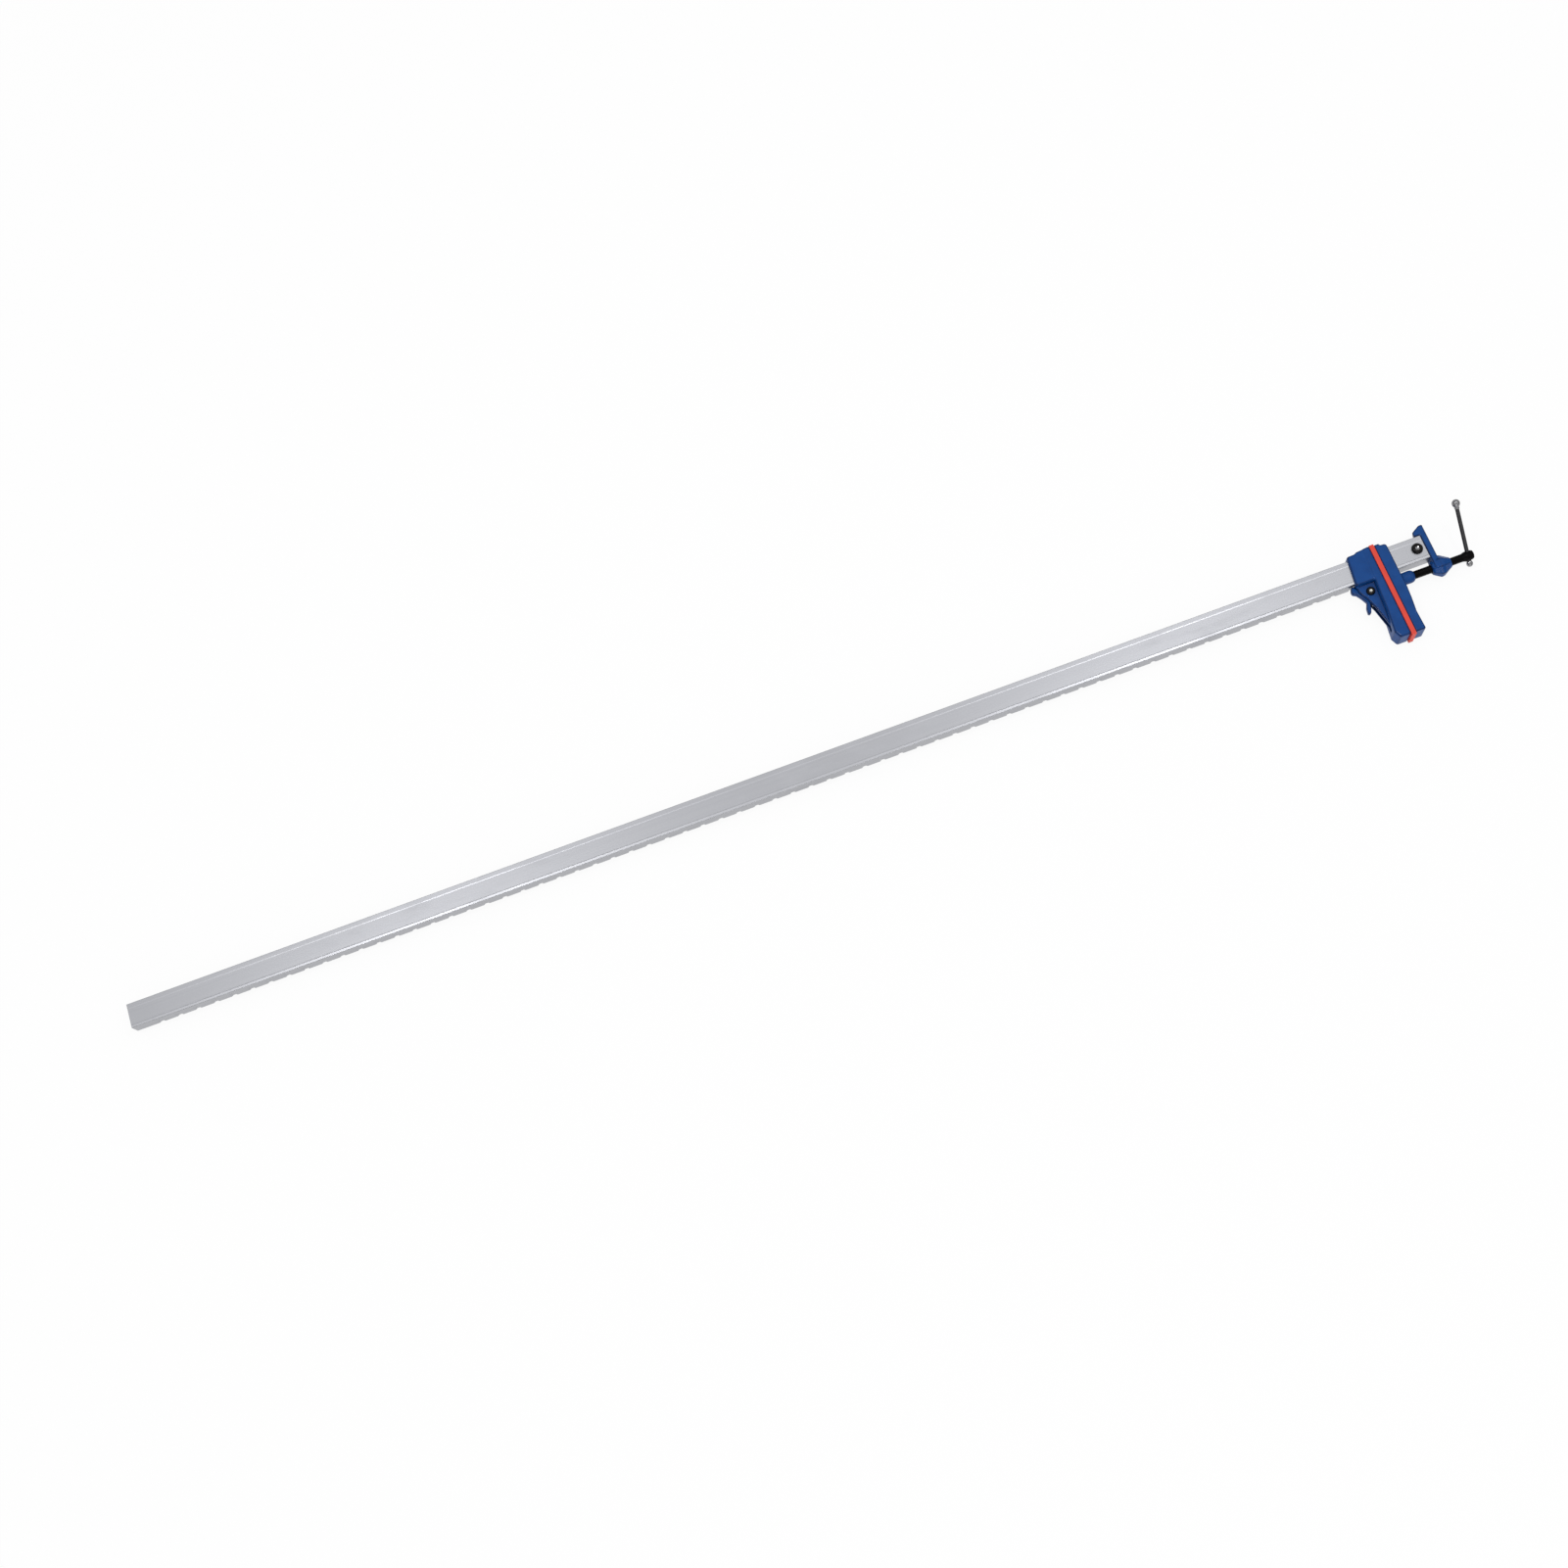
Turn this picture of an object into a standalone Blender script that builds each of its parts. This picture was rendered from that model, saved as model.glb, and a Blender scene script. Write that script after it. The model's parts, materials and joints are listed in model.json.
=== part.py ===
"""Aluminium-bar sash clamp, lying on its side.

X runs along the bar towards the screw, Y from the tips of the jaws towards the bar, Z up from the
underside of the jaws. Lengths are in metres.
"""

import math

import bmesh
import bpy
from mathutils import Matrix, Vector

# Clearances
SEAT = 0.0003                   # between two pieces that seat on each other
RUNNING = 0.0004                # between a piece and what it slides or turns on
OVERRUN = 0.002                 # how far a cutter runs past the face that it opens

# Bar: a hollow extrusion with shallow recessed sides and notches in its underside
BAR_LENGTH = 1.576
BAR_HEIGHT = 0.029
BAR_DEPTH = 0.0174
BAR_WALL = 0.0024
BAR_CORNER = 0.0020
SIDE_RECESS = 0.0004
SIDE_TOP_BAND = 0.0052
SIDE_LOW_BAND = 0.0038
NOTCH_PITCH = 0.022
NOTCH_MOUTH = 0.0070            # width of a notch at the underside of the bar
NOTCH_FLOOR = 0.0030            # width of its floor
NOTCH_BITE = 0.0014
NOTCH_FRONT_LAND = 0.0056
NOTCH_END_INSET = 0.0934        # centre of the last notch to the screw end of the bar
NOTCH_START_INSET = 0.020       # the least length of plain bar before the first notch
PLUG_LENGTH = 0.014
PLUG_CORNER = 0.0008

# Jaws
JAW_WALL = 0.00375              # beside the bar, in both jaws
THROAT = 0.079                  # underside of the bar to the tips of the jaws
PAD_THICKNESS = 0.0023
PAD_OVERHANG = 0.0021           # how far the pads reach past the tips of the jaws
PAD_INSET = 0.0002              # how far the pads stay inside the jaws' sides
PAD_CORNER = 0.0006
PEG_RADIUS = 0.0025
PEG_LENGTH = 0.0036
PEG_DROP_SHARES = (0.36, 0.84)  # places of a pad's two pegs, of the throat
JAW_ROUND = 0.0009
NOTCH_TO_PADS = 0.0368          # last notch to the plane where the pads meet

# Tail jaw: reach is measured back from its face, rise and drop from the bar
TAIL_FACE_RISE = 0.0077
TAIL_TOP_REACH = 0.0284
TAIL_FLOOR_REACH = 0.0327
COLLAR_WALL = 0.0033            # beside the bar
TAIL_ROOF = 0.0042
TAIL_FLOOR = 0.0036
TAIL_SHOULDER_SHARES = ((0.67, 0.59), (0.56, 0.79), (0.25, 0.88))
TAIL_PLATE = 0.0103             # thickness of the face plate at the collar
TAIL_PLATE_SHARES = ((0.28, 1.14), (0.51, 1.23))
TAIL_FOOT_REACH = 0.0165
TAIL_FOOT_HEIGHT = 0.0080
TAIL_FOOT_CHAMFER = 0.0036
WEB_WIDTH = 0.0120
WEB_EDGE_SHARES = (
    (0.11, 0.955), (0.18, 0.895), (0.255, 0.79), (0.33, 0.725),
    (0.425, 0.645), (0.605, 0.545), (0.76, 0.455), (0.86, 0.40),
)
WEB_ROUND = 0.0007

# Dog: the sprung lever that catches the notches
DOG_WIDTH = 0.0060
DOG_SPAN = 0.0250               # the size that its outline follows
DOG_HUB_RADIUS = 0.0062
DOG_NOSE_CLEARANCE = 0.0004     # under the bar, while the lever rests
DOG_ROUND = 0.0007
NOSE_TOP_SHARES = (-0.70, -0.60)
DOG_LOWER_SHARES = (
    (-0.48, 0.335), (-0.24, 0.22), (0.0, 0.20), (0.02, -0.22), (-0.10, -0.34), (-0.17, -0.42),
    (-0.265, -0.74), (-0.35, -0.93), (-0.43, -0.985), (-0.495, -0.92), (-0.455, -0.64),
    (-0.335, -0.39), (-0.46, -0.12), (-0.60, 0.10), (-0.765, 0.20), (-0.78, 0.33),
)
PIVOT_REACH = 0.0187
PIVOT_DROP = 0.0135
SLOT_REACH = 0.0119             # floor of the dog's slot, back from the face
SLOT_DEPTH_SHARE = 0.55         # how far the slot runs down the throat
SLEEVE_RADIUS = 0.0040
PIVOT_BOLT_RADIUS = 0.0030
PIVOT_HEAD_RADIUS = 0.0054
PIVOT_HEAD_HEIGHT = 0.0033
PIVOT_SOCKET_RADIUS = 0.0023
PIVOT_WASHER_RADIUS = 0.0060
PIVOT_WASHER_THICKNESS = 0.0010
PIVOT_NUT_RADIUS = 0.0057
PIVOT_NUT_HEIGHT = 0.0040
BOLT_END = 0.0005               # how far a bolt shows past its nut

# Dog spring
SPRING_COILS = 5
SPRING_RADIUS = 0.0021
SPRING_WIRE_RADIUS = 0.00035
SPRING_DROP = 0.0275            # axis of the spring below the bar
SPRING_POINTS = 9

# Screw, its head casting and its jaw
SCREW_DROP = 0.0113             # axis of the screw below the bar
SCREW_RADIUS = 0.0047
SPIGOT_STEP = 0.0015            # how much slimmer the spigot is than the screw
TIP_CHAMFER = 0.0006
SCREW_JAW_RISE = 0.0063
SCREW_JAW_LIP = 0.0063
SCREW_JAW_ROOF = 0.0039
SCREW_JAW_DEPTH = 0.0140
SCREW_JAW_SHOULDER = 0.0036
SCREW_JAW_BACK_SHARES = ((0.03, 0.985), (0.32, 1.0), (0.50, 0.93), (0.71, 0.80), (0.97, 0.86))
SCREW_BOSS_RADIUS = 0.0082
SCREW_BOSS_LENGTH = 0.0160
SCREW_BOSS_ROUND = 0.0026
THRUST_DEPTH = 0.0060
THRUST_WASHER = 0.0012
CLIP_POCKET_RADIUS = 0.0070
CLIP_POCKET_DEPTH = 0.0048
CLIP_RADIUS = 0.0052
CLIP_THICKNESS = 0.0010
CLIP_GROOVE = 0.0007            # how deep the clip sits in the spigot
CLIP_MOUTH_SHARE = 0.55         # width of the clip's mouth, of its radius
CLIP_END_LAND = 0.0012          # length of spigot past the clip
HEAD_GAP = 0.0211               # the screw jaw's free travel back to the head
STRAP_THICKNESS = 0.0073
HEAD_OVERLAP = 0.0008           # how far the head stands out past each side of the bar
HOOK_REACH = 0.0070             # how far the hook lies over the bar
HOOK_TOE_HEIGHT = 0.0054
HOOK_HEIGHT = 0.0116
HOOK_CREST = 0.0042
TOE_DRAFT = 0.0055              # how far the hook's toe slants back across the bar
TONGUE_LENGTH = 0.0240
HEAD_ROUND = 0.0009
HEAD_BOSS_LENGTH = 0.0237
HEAD_BOSS_RADIUS = 0.0122       # to the flats of its eight sides
STRAP_ROOT_SHARE = 0.24         # where the strap ends below the screw's axis, of that radius
HEAD_BOSS_SHARES = ((0.0, 0.53), (0.41, 1.0), (0.89, 0.56), (1.0, 0.48))
HEAD_BOLT_INSET = 0.0096
HEAD_BOLT_RADIUS = 0.0040
HEAD_BOLT_HEAD_RADIUS = 0.0070
HEAD_BOLT_HEAD_HEIGHT = 0.0040
HEAD_SOCKET_RADIUS = 0.0029
HEAD_NUT_RADIUS = 0.0074
HEAD_NUT_HEIGHT = 0.0034
DOME_SHARES = ((1.0, 0.62), (0.90, 0.80), (0.62, 0.93), (0.28, 1.0), (0.0, 1.0))
SOCKET_FLOOR_SHARE = 0.34
HUB_GAP = 0.0126                # head to hub, which is what the screw can still advance
HUB_LENGTH = 0.0145
HUB_RADIUS = 0.0053
HUB_FLARE = 0.0030              # length of the slope from the screw up to the hub
HUB_CHAMFER = 0.0006

# Tommy bar
TOMMY_RADIUS = 0.0023
TOMMY_INSET = 0.0058            # axis of the bar to the end of the hub
UPPER_BALL_RADIUS = 0.0047
LOWER_BALL_RADIUS = 0.0038
BALL_SEAT = 0.0040              # how deep the rod sits in a ball
TOMMY_UP = 0.0640               # centre of the upper ball from the screw's axis
TOMMY_TILT = math.radians(37.3)

# Fineness of the round faces
FINE = 32
MEDIUM = 24
SMALL = 16
OCTAGON = 8
HEXAGON = 6
ROUND_STEPS = 2
ARC_STEPS = 4
SMOOTH_ANGLE = math.radians(32)
BEVEL_ANGLE = math.radians(38)
MERGE = 0.00001
SPRING_FACETS = 1

# Sizes that follow from the others
JAW_WIDTH = BAR_DEPTH + 2 * (RUNNING + JAW_WALL)
TAIL_COLLAR_WIDTH = BAR_DEPTH + 2 * (RUNNING + COLLAR_WALL)
HEAD_WIDTH = BAR_DEPTH + 2 * HEAD_OVERLAP
SPIGOT_RADIUS = SCREW_RADIUS - SPIGOT_STEP
TOMMY_DOWN = HUB_RADIUS + SEAT + LOWER_BALL_RADIUS

# Places along the bar
BAR_TOP = BAR_HEIGHT / 2
BAR_UNDER = -BAR_HEIGHT / 2
LAST_NOTCH_X = BAR_LENGTH - NOTCH_END_INSET
PAD_PLANE_X = LAST_NOTCH_X + NOTCH_TO_PADS
TAIL_FACE_X = PAD_PLANE_X - SEAT / 2 - PAD_THICKNESS - SEAT
SCREW_FACE_X = PAD_PLANE_X + SEAT / 2 + PAD_THICKNESS + SEAT
JAW_TIP_Y = BAR_UNDER - THROAT
PIVOT_X = TAIL_FACE_X - PIVOT_REACH
PIVOT_Y = BAR_UNDER - PIVOT_DROP
SCREW_Y = BAR_UNDER - SCREW_DROP
SCREW_BOSS_END_X = SCREW_FACE_X + SCREW_JAW_DEPTH + SCREW_BOSS_LENGTH
HEAD_BOSS_X = SCREW_BOSS_END_X + HEAD_GAP
HEAD_BOSS_END_X = HEAD_BOSS_X + HEAD_BOSS_LENGTH
HUB_X = HEAD_BOSS_END_X + HUB_GAP
HUB_END_X = HUB_X + HUB_LENGTH
TOMMY_X = HUB_END_X - TOMMY_INSET
TOMMY_LINE = Vector((0, math.cos(TOMMY_TILT), math.sin(TOMMY_TILT)))
TOMMY_CENTRE = Vector((TOMMY_X, SCREW_Y, 0))

# The reference point: the middle of the clamp's footprint, at the underside of the jaws
LOW_Y = JAW_TIP_Y - PAD_OVERHANG
HIGH_Y = SCREW_Y + TOMMY_UP * TOMMY_LINE.y + UPPER_BALL_RADIUS
REFERENCE = Vector((HUB_END_X / 2, (LOW_Y + HIGH_Y) / 2, -JAW_WIDTH / 2))

X_AXIS = Vector((1, 0, 0))
Z_AXIS = Vector((0, 0, 1))


def clear_scene():
    """Remove whatever the file holds before the clamp is built."""
    for leftover in list(bpy.data.objects):
        bpy.data.objects.remove(leftover)


def new_collection(name):
    """Return a new collection that is linked to the scene."""
    collection = bpy.data.collections.new(name)
    bpy.context.scene.collection.children.link(collection)
    return collection


clear_scene()
PARTS = new_collection("sash_clamp")
CUTTERS = new_collection("cutters")


def material(name, colour, roughness, metallic):
    """Return a Principled material."""
    finish = bpy.data.materials.new(name)
    finish.use_nodes = True
    shader = finish.node_tree.nodes["Principled BSDF"]
    shader.inputs["Base Color"].default_value = (*colour, 1)
    shader.inputs["Roughness"].default_value = roughness
    shader.inputs["Metallic"].default_value = metallic
    return finish


ALUMINIUM = material("extruded_aluminium", (0.58, 0.59, 0.62), 0.38, 1)
BLUE = material("blue_enamel", (0.021, 0.078, 0.26), 0.34, 0)
RED = material("red_moulded_plastic", (0.70, 0.075, 0.045), 0.42, 0)
BLACK_STEEL = material("blackened_steel", (0.012, 0.012, 0.013), 0.38, 0.6)
ROD_STEEL = material("dark_plated_steel", (0.06, 0.06, 0.065), 0.30, 0.9)
CHROME = material("polished_chrome", (0.62, 0.62, 0.63), 0.10, 1)
BRIGHT_STEEL = material("zinc_plated_steel", (0.50, 0.50, 0.52), 0.32, 1)
BLACK_PLASTIC = material("black_moulded_plastic", (0.02, 0.02, 0.02), 0.55, 0)


def add_object(name, mesh, finish=None):
    """Link a mesh as a finished part, or as a hidden cutter where it has no finish."""
    piece = bpy.data.objects.new(name, mesh)
    if finish is None:
        CUTTERS.objects.link(piece)
        piece.hide_render = True
        piece.display_type = "WIRE"
    else:
        PARTS.objects.link(piece)
        mesh.materials.append(finish)
    return piece


def block(name, low, high, finish=None):
    """Return a box between two corners."""
    shape = bmesh.new()
    bmesh.ops.create_cube(shape, size=1)
    size = Vector(high) - Vector(low)
    bmesh.ops.scale(shape, vec=size, verts=shape.verts)
    mesh = bpy.data.meshes.new(name)
    shape.to_mesh(mesh)
    shape.free()
    piece = add_object(name, mesh, finish)
    piece.location = (Vector(low) + Vector(high)) / 2
    return piece


def cylinder(name, start, end, radius, sides, finish=None):
    """Return a closed cylinder or prism that runs from one point to another."""
    start = Vector(start)
    end = Vector(end)
    shape = bmesh.new()
    bmesh.ops.create_cone(
        shape, cap_ends=True, segments=sides, radius1=radius, radius2=radius, depth=(end - start).length
    )
    mesh = bpy.data.meshes.new(name)
    shape.to_mesh(mesh)
    shape.free()
    piece = add_object(name, mesh, finish)
    piece.rotation_mode = "QUATERNION"
    piece.rotation_quaternion = (end - start).to_track_quat("Z", "Y")
    piece.location = (start + end) / 2
    shade_round(piece)
    return piece


def shade_round(piece):
    """Shade the round faces of a piece smooth and keep its edges sharp."""
    piece.data.shade_smooth()
    piece.data.set_sharp_from_angle(angle=SMOOTH_ANGLE)


def solid_of(curve_piece, finish):
    """Return the mesh of a filled curve as a closed solid, in place of the curve."""
    bpy.context.view_layer.update()
    graph = bpy.context.evaluated_depsgraph_get()
    mesh = bpy.data.meshes.new_from_object(curve_piece.evaluated_get(graph))
    shape = bmesh.new()
    shape.from_mesh(mesh)
    bmesh.ops.remove_doubles(shape, verts=shape.verts, dist=MERGE)
    shape.to_mesh(mesh)
    shape.free()
    name = curve_piece.name
    place = curve_piece.matrix_world.copy()
    bpy.data.objects.remove(curve_piece)
    piece = add_object(name, mesh, finish)
    piece.matrix_world = place
    return piece


def outline_curve(name, outlines, half, turn):
    """Return a filled 2D curve through closed outlines, given its depth to each side."""
    curve = bpy.data.curves.new(name, "CURVE")
    curve.dimensions = "2D"
    curve.fill_mode = "BOTH"
    curve.extrude = half
    for outline in outlines:
        spline = curve.splines.new("POLY")
        spline.points.add(len(outline) - 1)
        for point, (across, up) in zip(spline.points, outline):
            point.co = (across, up, 0, 1)
        spline.use_cyclic_u = True
    piece = bpy.data.objects.new(name, curve)
    PARTS.objects.link(piece)
    piece.matrix_world = turn
    return piece


def plate(name, outline, half, finish=None):
    """Return a plate with an outline in X and Y, thick along Z."""
    return solid_of(outline_curve(name, [outline], half, Matrix()), finish)


def turned(name, profile, start, direction, steps, finish=None, spin=0):
    """Return a solid turned about a line through start.

    The profile lists places along the line and radii, from the far end back to the near one, and
    is closed at the line at both ends. A body with few steps is turned by spin about the line.
    """
    stations = [(profile[0][0], 0)] + list(profile) + [(profile[-1][0], 0)]
    mesh = bpy.data.meshes.new(name)
    corners = [(radius * math.cos(spin), radius * math.sin(spin), along) for along, radius in stations]
    links = [(index, index + 1) for index in range(len(corners) - 1)]
    mesh.from_pydata(corners, links, [])
    piece = add_object(name, mesh, finish)
    piece.rotation_mode = "QUATERNION"
    piece.rotation_quaternion = Vector(direction).to_track_quat("Z", "Y")
    piece.location = start
    screw = piece.modifiers.new("turn", "SCREW")
    screw.axis = "Z"
    screw.steps = steps
    screw.render_steps = steps
    screw.use_merge_vertices = True
    screw.merge_threshold = MERGE
    screw.use_smooth_shade = True
    return piece


def boolean(target, tool, operation):
    """Cut or join a tool with a target."""
    step = target.modifiers.new(tool.name, "BOOLEAN")
    step.operation = operation
    step.object = tool
    step.solver = "EXACT"
    return step


def cut(target, *tools):
    """Cut each tool out of a target."""
    for tool in tools:
        boolean(target, tool, "DIFFERENCE")


def join(target, *tools):
    """Join each tool to a target."""
    for tool in tools:
        boolean(target, tool, "UNION")


def round_edges(piece, width, segments=ROUND_STEPS):
    """Round the edges of a piece."""
    bevel = piece.modifiers.new("round", "BEVEL")
    bevel.width = width
    bevel.segments = segments
    bevel.limit_method = "ANGLE"
    bevel.angle_limit = BEVEL_ANGLE
    bevel.miter_outer = "MITER_ARC"
    return bevel


def arc(centre, radius, first, last, steps=ARC_STEPS):
    """Return points on an arc between two angles in radians."""
    points = []
    for index in range(steps + 1):
        angle = first + (last - first) * index / steps
        points.append((centre[0] + radius * math.cos(angle), centre[1] + radius * math.sin(angle)))
    return points


def rounded_box(half_width, half_height, radius):
    """Return the outline of a rectangle with round corners."""
    quarter = math.pi / 2
    across = half_width - radius
    up = half_height - radius
    points = arc((across, up), radius, 0, quarter)
    points += arc((-across, up), radius, quarter, 2 * quarter)
    points += arc((-across, -up), radius, 2 * quarter, 3 * quarter)
    points += arc((across, -up), radius, 3 * quarter, 4 * quarter)
    return points


def bar_outline():
    """Return the outline of the bar's section, with the shallow recess in each side."""
    outline = rounded_box(BAR_DEPTH / 2, BAR_TOP, BAR_CORNER)
    corner = ARC_STEPS + 1
    band_top = BAR_TOP - SIDE_TOP_BAND
    band_low = BAR_UNDER + SIDE_LOW_BAND
    face = BAR_DEPTH / 2
    floor = face - SIDE_RECESS
    left = [
        (-face, band_top),
        (-floor, band_top - SIDE_RECESS),
        (-floor, band_low + SIDE_RECESS),
        (-face, band_low),
    ]
    right = [(-across, up) for across, up in reversed(left)]
    return outline[: 2 * corner] + left + outline[2 * corner:] + right


def notch_places():
    """Return the places of the notches along the bar, from the last one back."""
    places = []
    place = LAST_NOTCH_X
    while place > NOTCH_START_INSET:
        places.append(place)
        place -= NOTCH_PITCH
    return places


def notch_cutter():
    """Return one cutter with a block for each notch, wider at the mouth than at the floor."""
    shape = bmesh.new()
    low_z = -BAR_DEPTH / 2 - OVERRUN
    high_z = BAR_DEPTH / 2 - NOTCH_FRONT_LAND
    low_y = BAR_UNDER - OVERRUN
    high_y = BAR_UNDER + NOTCH_BITE
    high_half = NOTCH_FLOOR / 2
    low_half = high_half + (NOTCH_MOUTH / 2 - high_half) * (high_y - low_y) / NOTCH_BITE
    for place in notch_places():
        made = bmesh.ops.create_cube(shape, size=1)
        for corner in made["verts"]:
            half = high_half if corner.co.y > 0 else low_half
            corner.co.x = place + math.copysign(half, corner.co.x)
            corner.co.y = high_y if corner.co.y > 0 else low_y
            corner.co.z = high_z if corner.co.z > 0 else low_z
    mesh = bpy.data.meshes.new("notches")
    shape.to_mesh(mesh)
    shape.free()
    return add_object("notches", mesh)


def make_bar():
    """Make the notched bar and the plug in its open end."""
    along_x = Matrix.Translation((BAR_LENGTH / 2, 0, 0)) @ Matrix(
        ((0, 0, 1, 0), (0, 1, 0, 0), (-1, 0, 0, 0), (0, 0, 0, 1))
    )
    inner = rounded_box(BAR_DEPTH / 2 - BAR_WALL, BAR_TOP - BAR_WALL, BAR_CORNER / 2)
    bar = solid_of(outline_curve("bar", [bar_outline(), inner], BAR_LENGTH / 2, along_x), ALUMINIUM)
    bolt_x = BAR_LENGTH - HEAD_BOLT_INSET
    bolt_hole = cylinder(
        "head_bolt_hole",
        (bolt_x, 0, -BAR_DEPTH),
        (bolt_x, 0, BAR_DEPTH),
        HEAD_BOLT_RADIUS + SEAT,
        MEDIUM,
    )
    cut(bar, notch_cutter(), bolt_hole)
    half_height = BAR_TOP - BAR_WALL - SEAT
    half_depth = BAR_DEPTH / 2 - BAR_WALL - SEAT
    plug = block(
        "bar_end_plug", (0, -half_height, -half_depth), (PLUG_LENGTH, half_height, half_depth), BLACK_PLASTIC
    )
    round_edges(plug, PLUG_CORNER)
    return [bar, plug]


def toe_cutter(toe, low_y, high_y):
    """Return the cutter that slants the toe of the hook across the bar."""
    half = HEAD_WIDTH / 2
    outline = [
        (toe, half),
        (toe - OVERRUN, half),
        (toe - OVERRUN, -half - OVERRUN),
        (toe + TOE_DRAFT * (HEAD_WIDTH + OVERRUN) / HEAD_WIDTH, -half - OVERRUN),
    ]
    upright = Matrix.Translation((0, (low_y + high_y) / 2, 0)) @ Matrix(
        ((1, 0, 0, 0), (0, 0, -1, 0), (0, 1, 0, 0), (0, 0, 0, 1))
    )
    return solid_of(outline_curve("toe_draft", [outline], (high_y - low_y) / 2, upright), None)


def make_head():
    """Make the casting that hooks over the end of the bar and carries the screw's thread."""
    end = BAR_LENGTH + SEAT
    back = end + STRAP_THICKNESS
    under = BAR_TOP + SEAT
    toe = BAR_LENGTH - HOOK_REACH
    crest = BAR_TOP + HOOK_HEIGHT
    root = SCREW_Y - STRAP_ROOT_SHARE * HEAD_BOSS_RADIUS
    outline = [
        (end, under),
        (end, root),
        (back, root),
        (back, crest),
        (back - HOOK_CREST, crest),
        (toe, BAR_TOP + HOOK_TOE_HEIGHT),
        (toe, under),
    ]
    head = plate("screw_head", outline, HEAD_WIDTH / 2, BLUE)
    cut(head, toe_cutter(toe, BAR_TOP, crest + OVERRUN))
    round_edges(head, HEAD_ROUND)
    half_height = BAR_TOP - BAR_WALL - SEAT
    half_depth = BAR_DEPTH / 2 - BAR_WALL - SEAT
    tongue = block(
        "head_tongue",
        (end - TONGUE_LENGTH, -half_height, -half_depth),
        (end + STRAP_THICKNESS / 2, half_height, half_depth),
    )
    bolt_x = BAR_LENGTH - HEAD_BOLT_INSET
    bolt_hole = cylinder(
        "tongue_hole", (bolt_x, 0, -BAR_DEPTH), (bolt_x, 0, BAR_DEPTH), HEAD_BOLT_RADIUS + SEAT, MEDIUM
    )
    join(head, tongue)
    cut(head, bolt_hole)
    half_side = math.pi / OCTAGON
    corner_radius = HEAD_BOSS_RADIUS / math.cos(half_side)
    stations = [
        (along * HEAD_BOSS_LENGTH, share * corner_radius) for along, share in reversed(HEAD_BOSS_SHARES)
    ]
    boss = turned("head_boss", stations, (HEAD_BOSS_X, SCREW_Y, 0), X_AXIS, OCTAGON, spin=half_side)
    bore = cylinder(
        "head_bore",
        (HEAD_BOSS_X - OVERRUN, SCREW_Y, 0),
        (HEAD_BOSS_END_X + OVERRUN, SCREW_Y, 0),
        SCREW_RADIUS + RUNNING,
        FINE,
    )
    join(head, boss)
    cut(head, bore)
    return head


def button_bolt(name, x, y, seat_z, end_z, radius, head_radius, head_height, socket_radius):
    """Return a button-head bolt that points down along Z, with a hexagon socket."""
    dome = [(up * head_height, out * head_radius) for up, out in DOME_SHARES]
    shank = [(0, radius), (end_z - seat_z, radius)]
    bolt = turned(name, dome + shank, (x, y, seat_z), Z_AXIS, MEDIUM, BLACK_STEEL)
    socket = cylinder(
        name + "_socket",
        (x, y, seat_z + SOCKET_FLOOR_SHARE * head_height),
        (x, y, seat_z + head_height + OVERRUN),
        socket_radius,
        HEXAGON,
    )
    cut(bolt, socket)
    return bolt


def hexagon_nut(name, x, y, low_z, height, radius, bore_radius, finish):
    """Return a hexagon nut with its axis along Z."""
    nut = cylinder(name, (x, y, low_z), (x, y, low_z + height), radius, HEXAGON, finish)
    hole = cylinder(
        name + "_bore", (x, y, low_z - OVERRUN), (x, y, low_z + height + OVERRUN), bore_radius, MEDIUM
    )
    cut(nut, hole)
    return nut


def washer(name, centre, direction, radius, bore_radius, thickness, finish):
    """Return a flat washer whose first face is at centre."""
    start = Vector(centre)
    line = Vector(direction)
    ring = cylinder(name, start, start + line * thickness, radius, MEDIUM, finish)
    hole = cylinder(
        name + "_bore", start - line * OVERRUN, start + line * (thickness + OVERRUN), bore_radius, MEDIUM
    )
    cut(ring, hole)
    return ring


def make_head_fixing():
    """Make the bolt and nut that hold the head in the bar."""
    bolt_x = BAR_LENGTH - HEAD_BOLT_INSET
    front = BAR_DEPTH / 2 - SIDE_RECESS + SEAT
    nut_top = -BAR_DEPTH / 2 + SIDE_RECESS - SEAT
    nut_low = nut_top - HEAD_NUT_HEIGHT
    bolt = button_bolt(
        "head_bolt", bolt_x, 0, front, nut_low - BOLT_END, HEAD_BOLT_RADIUS,
        HEAD_BOLT_HEAD_RADIUS, HEAD_BOLT_HEAD_HEIGHT, HEAD_SOCKET_RADIUS,
    )
    nut = hexagon_nut(
        "head_nut", bolt_x, 0, nut_low, HEAD_NUT_HEIGHT, HEAD_NUT_RADIUS, HEAD_BOLT_RADIUS + SEAT, BLACK_STEEL
    )
    return [bolt, nut]


def bar_passage(name, low_x, high_x):
    """Return the cutter for the hole that lets a jaw slide on the bar."""
    high_y = BAR_TOP + RUNNING
    high_z = BAR_DEPTH / 2 + RUNNING
    return block(name, (low_x - OVERRUN, -high_y, -high_z), (high_x + OVERRUN, high_y, high_z))


def peg_places():
    """Return how far up or down the pads' pegs sit."""
    return [BAR_UNDER - share * THROAT for share in PEG_DROP_SHARES]


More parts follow.
